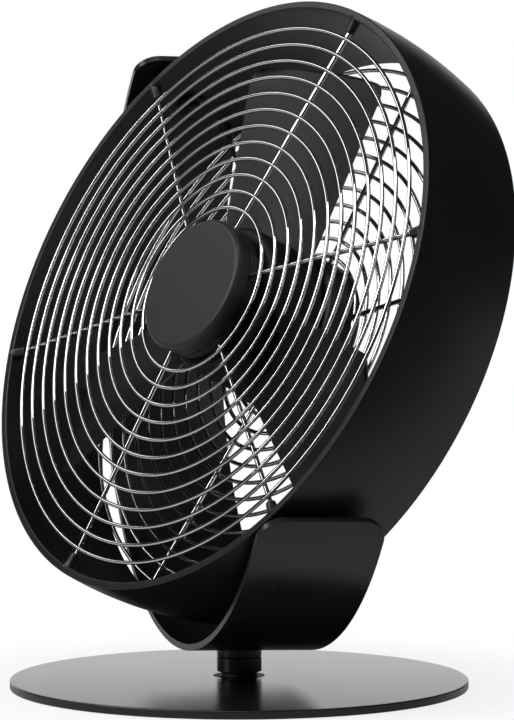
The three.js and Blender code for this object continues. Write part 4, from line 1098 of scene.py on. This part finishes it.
class FAN_OT_impeller(bpy.types.Operator):
    """Builds the impeller: a domed hub with broad twisted blades"""

    bl_idname = "fan.impeller"
    bl_label = "Impeller"

    def execute(self, context):
        fan = context.scene.fan_impeller
        boss_depth, boss_r, shaft_r, skin, rim, soft = mm(5.9, 4.5, 2.3, 1, 0.4, 0.2)
        front = context.scene.fan_head.front - fan.hub_setback
        rear = front - fan.hub_depth
        inner = fan.hub_radius - fan.hub_wall
        ceiling = front - fan.hub_wall
        boss = front - boss_depth
        hub = turned("impeller_hub", [
            (0, front), (fan.hub_radius, front, fan.fillet), (fan.hub_radius, rear, rim),
            (inner, rear, rim), (inner, ceiling), (boss_r, ceiling), (boss_r, boss, soft), (shaft_r, boss),
            (shaft_r, front - skin), (0, front - skin),
        ], rounding=6)
        blades = copied_round(self.blade(fan), fan.blades, blade_plastic(), fan.phase)
        made = joined("impeller_moulded", hub, blades)
        finish_piece(moved(made, head_place()), "rotor", blade_plastic(), "black_plastic", "impeller")
        return DONE

    def blade(self, fan):
        """One blade: a hollowed, twisted sheet between two straight edges that thins towards its rim."""
        head = bpy.context.scene.fan_head
        rows = columns = 36
        root = fan.hub_radius - fan.hub_wall / 2
        tip = inner_radius(head.front) - fan.tip_gap
        rounding, thinnest = mm(2.5, 0.05)
        front, back = [], []
        for i in range(rows + 1):
            r = root + math.sin(math.pi / 2 * i / rows) * (tip - root)
            into_corner = max(0, r - (tip - fan.corner))
            loss = (fan.corner - math.sqrt(max(0, fan.corner**2 - into_corner**2))) / r
            lead = -fan.wedge / 2 - math.asin(fan.lead / r) + loss
            trail = fan.wedge / 2 + math.asin(fan.trail / r) - loss
            for j in range(columns + 1):
                chord = -math.cos(math.pi * j / columns)
                turn = lead + (trail - lead) * (chord + 1) / 2
                z = head.front - fan.setback - fan.depth * (1 - chord) / 2 - fan.camber * (1 - chord**2)
                # thinner towards both edges, and rounded off there and at the tip
                edge = min(1 - chord**12, 1 - max(0, (r - tip + rounding) / rounding) ** 4)
                half = fan.thickness / 2 * math.sqrt(max(edge, 0)) * (1 - 0.55 * chord**4) + thinnest
                front.append((r * math.cos(turn), r * math.sin(turn), z + half))
                back.append((r * math.cos(turn), r * math.sin(turn), z - half))
        total, across = len(front), columns + 1
        faces = []
        for a, d, c, b in grid(rows, columns):
            faces += [(a, b, c, d), (total + a, total + d, total + c, total + b)]
        rim = [*range(across), *(i * across + columns for i in range(1, rows + 1))]
        rim += [rows * across + j for j in reversed(range(columns))]
        rim += [i * across for i in reversed(range(1, rows))]
        for a, b in zip(rim, rim[1:] + rim[:1]):
            faces.append((a, b, total + b, total + a))
        return closed_piece("blade", front + back, faces)


class FAN_OT_motor_housing(bpy.types.Operator):
    """Builds the rear motor housing, its cover with screws, the button and the power inlet"""

    bl_idname = "fan.motor_housing"
    bl_label = "Motor housing"

    def execute(self, context):
        head = context.scene.fan_head
        wall, cover_floor, edge, rim, crisp = mm(2.4, 2, 2.5, 0.3, 0.1)
        shaft, shoulder, bearing, tube_wall, tube_length, seat, root = mm(2.4, 3.9, 4.9, 1.4, 18.6, 4.6, 0.8)
        radius, front, rear = head.mount_radius, head.mount_front, head.cover_rear
        split = spoke_height(False, radius - wall / 2)
        inner = radius - wall
        floor = front - cover_floor
        tube, top = bearing + tube_wall, front + tube_length
        mount = turned("motor_mount_moulded", [
            (shaft, floor), (inner, floor), (inner, split + SEAT, crisp), (radius, split + SEAT, rim),
            (radius, front, edge), (tube, front, root), (tube, top, rim), (bearing, top),
            (bearing, top - seat), (shoulder, top - seat), (shoulder, front + seat), (bearing, front + seat),
            (bearing, front), (shaft, front),
        ], rounding=5)
        cover = lid("motor_cover_moulded", radius, wall, rear, edge, rear + cover_floor, split, rim, 6)
        for made, node, more in ((mount, "motor_mount", []), (cover, "motor_cover", self.openings(rear))):
            cut_with(made, *spoke_paths(False, *mm(20, 45)), *more)
            finish_piece(moved(made, head_place()), "head", hub_abs(), "black_plastic", node)
        board = front - 6 * MM  # the rear face of the circuit board
        self.controls(board, rear, rear + cover_floor + SEAT)
        self.cover_screws(rear)
        return DONE

    def aside(self, side):
        """From the air axis to the button on one side or to the inlet on the other."""
        return shift(y=side * 13 * MM)

    def screw_place(self, number):
        """From the air axis to one of the three screws of the cover."""
        return spoke_turn(number, 3) @ shift(18 * MM)

    def openings(self, rear):
        """What is cut out of the cover: screw pockets and holes, button hole and inlet hole."""
        pocket, pocket_depth, screw, screw_depth = mm(2.7, 1.6, 1.5, 6)
        button, inlet, before, through = mm(5.4, 4.8, 1, 3)
        tools = []
        for k in range(3):
            bars = (
                plain("pocket", pocket, rear - before, rear + pocket_depth),
                plain("hole", screw, rear, rear + screw_depth, 24),
            )
            tools += [moved(bar, self.screw_place(k)) for bar in bars]
        for radius, side in ((button, 1), (inlet, -1)):
            tools.append(moved(plain("hole", radius, rear - before, rear + through, 64), self.aside(side)))
        return tools

    def controls(self, board, rear, inside):
        """The button and the inlet, which reach in to the board."""
        proud, switch_height, flange_height = mm(1.4, 4, 1)
        face, foot, stop = rear - proud, board - switch_height, inside + flange_height
        dish, cap, flange, stem = mm(3.2, 5, 6, 1.5)
        bowl, dish_depth, roll, edge, crisp = mm(0.5, 0.3, 1, 0.6, 0.1)
        button = turned("power_button_moulded", [
            (0, face + bowl), (dish, face + dish_depth, roll), (cap, face, edge), (cap, inside),
            (flange, inside, crisp), (flange, stop, crisp), (stem, stop), (stem, foot), (0, foot),
        ], steps=64, rounding=5)
        moved(button, self.aside(1), head_place())
        finish_piece(button, "button", hub_abs(), "black_plastic", "power_button")

        body, socket, pin, socket_floor, pin_below, rim, soft = mm(4.5, 2.9, 1, 2, 1, 0.3, 0.4)
        root = board - SEAT
        floor, tip = root - socket_floor, rear + pin_below
        inlet = turned("power_inlet_moulded", [
            (0, root), (body, root), (body, rear, rim), (socket, rear, soft), (socket, floor), (pin, floor),
            (pin, tip, soft), (0, tip),
        ], steps=64)
        moved(inlet, self.aside(-1), head_place())
        finish_piece(inlet, "head", nylon(), "black_plastic", "power_inlet")

    def cover_screws(self, rear):
        """The cover's screws, with low domed heads."""
        head, shank, head_height, length, dome, roll, tip = mm(2.4, 1.2, 1.3, 10.5, 0.1, 0.8, 0.3)
        seat = rear + head_height
        end = seat + length
        for k in range(3):
            screw = turned(f"cover_screw_{k + 1}_headed", [
                (0, rear), (head, rear + dome, roll), (head, seat), (shank, seat), (shank, end, tip),
                (0, end),
            ], steps=SMALL_STEPS)
            cut_with(screw, *cross_recess(*mm(0.9, 1.4), shift(z=rear)))
            moved(screw, self.screw_place(k), head_place())
            finish_piece(screw, "head", zinc_plated_steel(), "steel", f"cover_screw_{k + 1}")


class FAN_OT_motor_inside(bpy.types.Operator):
    """Finishes the motor's pieces and the electronics inside the head"""

    bl_idname = "fan.motor_inside"
    bl_label = "Motor"

    def execute(self, context):
        steel = ("rotor_cup", "motor_shaft", "shaft_clip", "bearing_front", "bearing_rear", "switch_body")
        finish_nodes(zinc_plated_steel(), *steel)
        finish_nodes(laminated_steel(), "stator_core")
        finish_nodes(sintered_ferrite(), "magnet_ring")
        finish_nodes(enamelled_copper(), *[f"stator_coil_{k}" for k in range(1, 7)])
        finish_nodes(solder_resist(), "circuit_board")
        return DONE


# ---------------------------------------------------------------- studio
def studio_world(world, backdrop):
    """White for the camera. Reflections see a dark room with a lit backdrop, low and wide, behind the fan."""
    sides = (0.85, 0.927)  # it fades between these cosines of the angle from its middle
    top = (0.16, 0.34)  # and between these heights of the line of sight
    brightness = (0.03, 1.5)  # of the room and of the backdrop
    world.use_nodes = True
    tree = world.node_tree
    tree.nodes.clear()
    place = add(tree, "ShaderNodeTexCoord").outputs["Generated"]
    towards = add(tree, "ShaderNodeVectorMath", [place, backdrop], operation="DOT_PRODUCT").outputs["Value"]
    across = add(tree, "ShaderNodeMapRange", [towards, *sides, 0.0, 1.0], **SMOOTH)
    height = add(tree, "ShaderNodeSeparateXYZ", [place]).outputs["Z"]
    low = add(tree, "ShaderNodeMapRange", [height, *top, 1.0, 0.0], **SMOOTH)
    lit = add(tree, "ShaderNodeMath", [across, low], operation="MULTIPLY")
    level = add(tree, "ShaderNodeMapRange", [lit, 0.0, 1.0, *brightness])
    room = add(tree, "ShaderNodeBackground", [WHITE, level])
    white = add(tree, "ShaderNodeBackground", [WHITE, 1.0])
    seen = add(tree, "ShaderNodeLightPath").outputs["Is Camera Ray"]
    mix = add(tree, "ShaderNodeMixShader", [seen, room, white])
    add(tree, "ShaderNodeOutputWorld", [mix])


def studio_floor(forward):
    """Matt white board that takes the fan's shadow near it and is plain white further out. In reflections it
    is dimmer, and nearly dark in front of the fan, as with a black card laid there."""
    near, plain_white = (0.07, 0.16), (0.84, 1.0)  # metres from the post, and shares of plain white there
    edge, mirrored = (-0.20, -0.09), (0.06, 0.45)  # metres past the post, and brightness in reflections
    inputs = {"Base Color": linear("#f4f4f4"), "Roughness": 0.9}
    material, tree, shader, place = new_material("Painted board, matt white", inputs)
    far = add(tree, "ShaderNodeVectorMath", [place], operation="LENGTH").outputs["Value"]
    spread = add(tree, "ShaderNodeMapRange", [far, *near, *plain_white], **SMOOTH)
    path = add(tree, "ShaderNodeLightPath").outputs
    seen = add(tree, "ShaderNodeMath", [path["Is Camera Ray"], path["Is Glossy Ray"]], operation="MAXIMUM")
    share = add(tree, "ShaderNodeMath", [seen, spread], operation="MULTIPLY")
    ahead = add(tree, "ShaderNodeVectorMath", [place, forward], operation="DOT_PRODUCT").outputs["Value"]
    card = add(tree, "ShaderNodeMapRange", [ahead, *edge, *mirrored], **SMOOTH)
    level = add(tree, "ShaderNodeMath", [path["Is Camera Ray"], card], operation="MAXIMUM")
    white = add(tree, "ShaderNodeEmission", [WHITE, level])
    mix = add(tree, "ShaderNodeMixShader", [share, shader, white])
    tree.links.new(mix.outputs[0], tree.nodes["Material Output"].inputs["Surface"])
    return material


def strip_light(name, place, target, along, length, width, power):
    """A long soft box that faces the target, its length roughly along a direction."""
    data = bpy.data.lights.new(name, "AREA")
    data.shape, data.size, data.size_y, data.energy = "RECTANGLE", length, width, power
    lamp = bpy.data.objects.new(name, data)
    back = (place - target).normalized()
    across = back.cross(along).normalized()
    lamp.matrix_world = Matrix.Translation(place) @ facing(across.cross(back), across, back)
    bpy.context.scene.collection.objects.link(lamp)


class FAN_OT_stage(bpy.types.Operator):
    """Sets up the floor, the soft lights and the camera"""

    bl_idname = "fan.stage"
    bl_label = "Studio"

    def execute(self, context):
        scene = context.scene
        studio = scene.fan_studio
        eye, target = Vector(studio.camera), Vector(studio.target)
        look = (target - eye).normalized()
        forward = Vector((look.x, look.y, 0)).normalized()
        half = 6.0  # of the floor's width
        corners = [(-half, -half, 0), (half, -half, 0), (half, half, 0), (-half, half, 0)]
        floor = object_from("studio_floor", mesh_from("floor", corners, [(0, 1, 2, 3)]))
        floor.data.materials.append(studio_floor(tuple(forward)))

        scene.world = bpy.data.worlds.new("studio")
        to_left = math.radians(12)  # from behind the fan to the middle of the backdrop
        studio_world(scene.world, tuple(Matrix.Rotation(to_left, 3, "Z") @ forward))

        data = bpy.data.cameras.new("camera")
        data.lens, data.sensor_width, data.sensor_fit = studio.lens, 36.0, "AUTO"
        data.clip_start, data.clip_end = 0.05, 50.0
        camera = object_from("camera", data)
        camera.location = eye
        camera.rotation_euler = look.to_track_quat("-Z", "Y").to_euler()
        scene.camera = camera

        up = Vector((0, 0, 1))
        side = look.cross(up).normalized()
        centre = up * 0.12  # the fan's middle, from which the lights stand these metres away
        left = centre - side * 1.2 - look * 0.2 + up
        right = centre + side * 0.9 - look * 1.0 + up * 0.9
        high_left = centre - side * 0.75 - look * 0.6 + up * 1.05
        strip_light("strip_left", left, centre, look, 2.6, 0.3, studio.key)
        strip_light("strip_right", right, centre, up, 1.0, 0.2, studio.fill)
        strip_light("strip_high_left", high_left, centre, side + up, 3.2, 0.34, studio.top)
        scene.view_settings.view_transform = "Standard"
        return DONE


class FAN_PT_panel(bpy.types.Panel):
    """Lists the pieces in the sidebar"""

    bl_label = "Desk air circulator"
    bl_idname = "FAN_PT_panel"
    bl_space_type = "VIEW_3D"
    bl_region_type = "UI"
    bl_category = "Fan"

    def draw(self, context):
        for operator in OPERATORS:
            self.layout.operator(operator.bl_idname)
        for name, _ in GROUPS:
            group = getattr(context.scene, name)
            box = self.layout.box()
            box.label(text=type(group).__doc__)
            for key in type(group).__annotations__:
                box.prop(group, key)


GROUPS = (
    ("fan_base", BaseSizes), ("fan_band", BandSizes), ("fan_head", HeadSizes), ("fan_grille", GrilleSizes),
    ("fan_impeller", ImpellerSizes), ("fan_finishes", Finishes), ("fan_studio", Studio),
)
OPERATORS = (
    FAN_OT_base, FAN_OT_post, FAN_OT_band, FAN_OT_tilt_pivots, FAN_OT_housing, FAN_OT_grilles,
    FAN_OT_front_hub, FAN_OT_impeller, FAN_OT_motor_housing, FAN_OT_motor_inside, FAN_OT_stage,
)


def register():
    for name, group in GROUPS:
        bpy.utils.register_class(group)
        setattr(bpy.types.Scene, name, PointerProperty(type=group))
    for kind in (*OPERATORS, FAN_PT_panel):
        bpy.utils.register_class(kind)


def unregister():
    for kind in (FAN_PT_panel, *reversed(OPERATORS)):
        bpy.utils.unregister_class(kind)
    for name, group in reversed(GROUPS):
        delattr(bpy.types.Scene, name)
        bpy.utils.unregister_class(group)


def main():
    register()
    for operator in OPERATORS:
        family, name = operator.bl_idname.split(".")
        getattr(getattr(bpy.ops, family), name)()


if __name__ == "__main__":
    main()
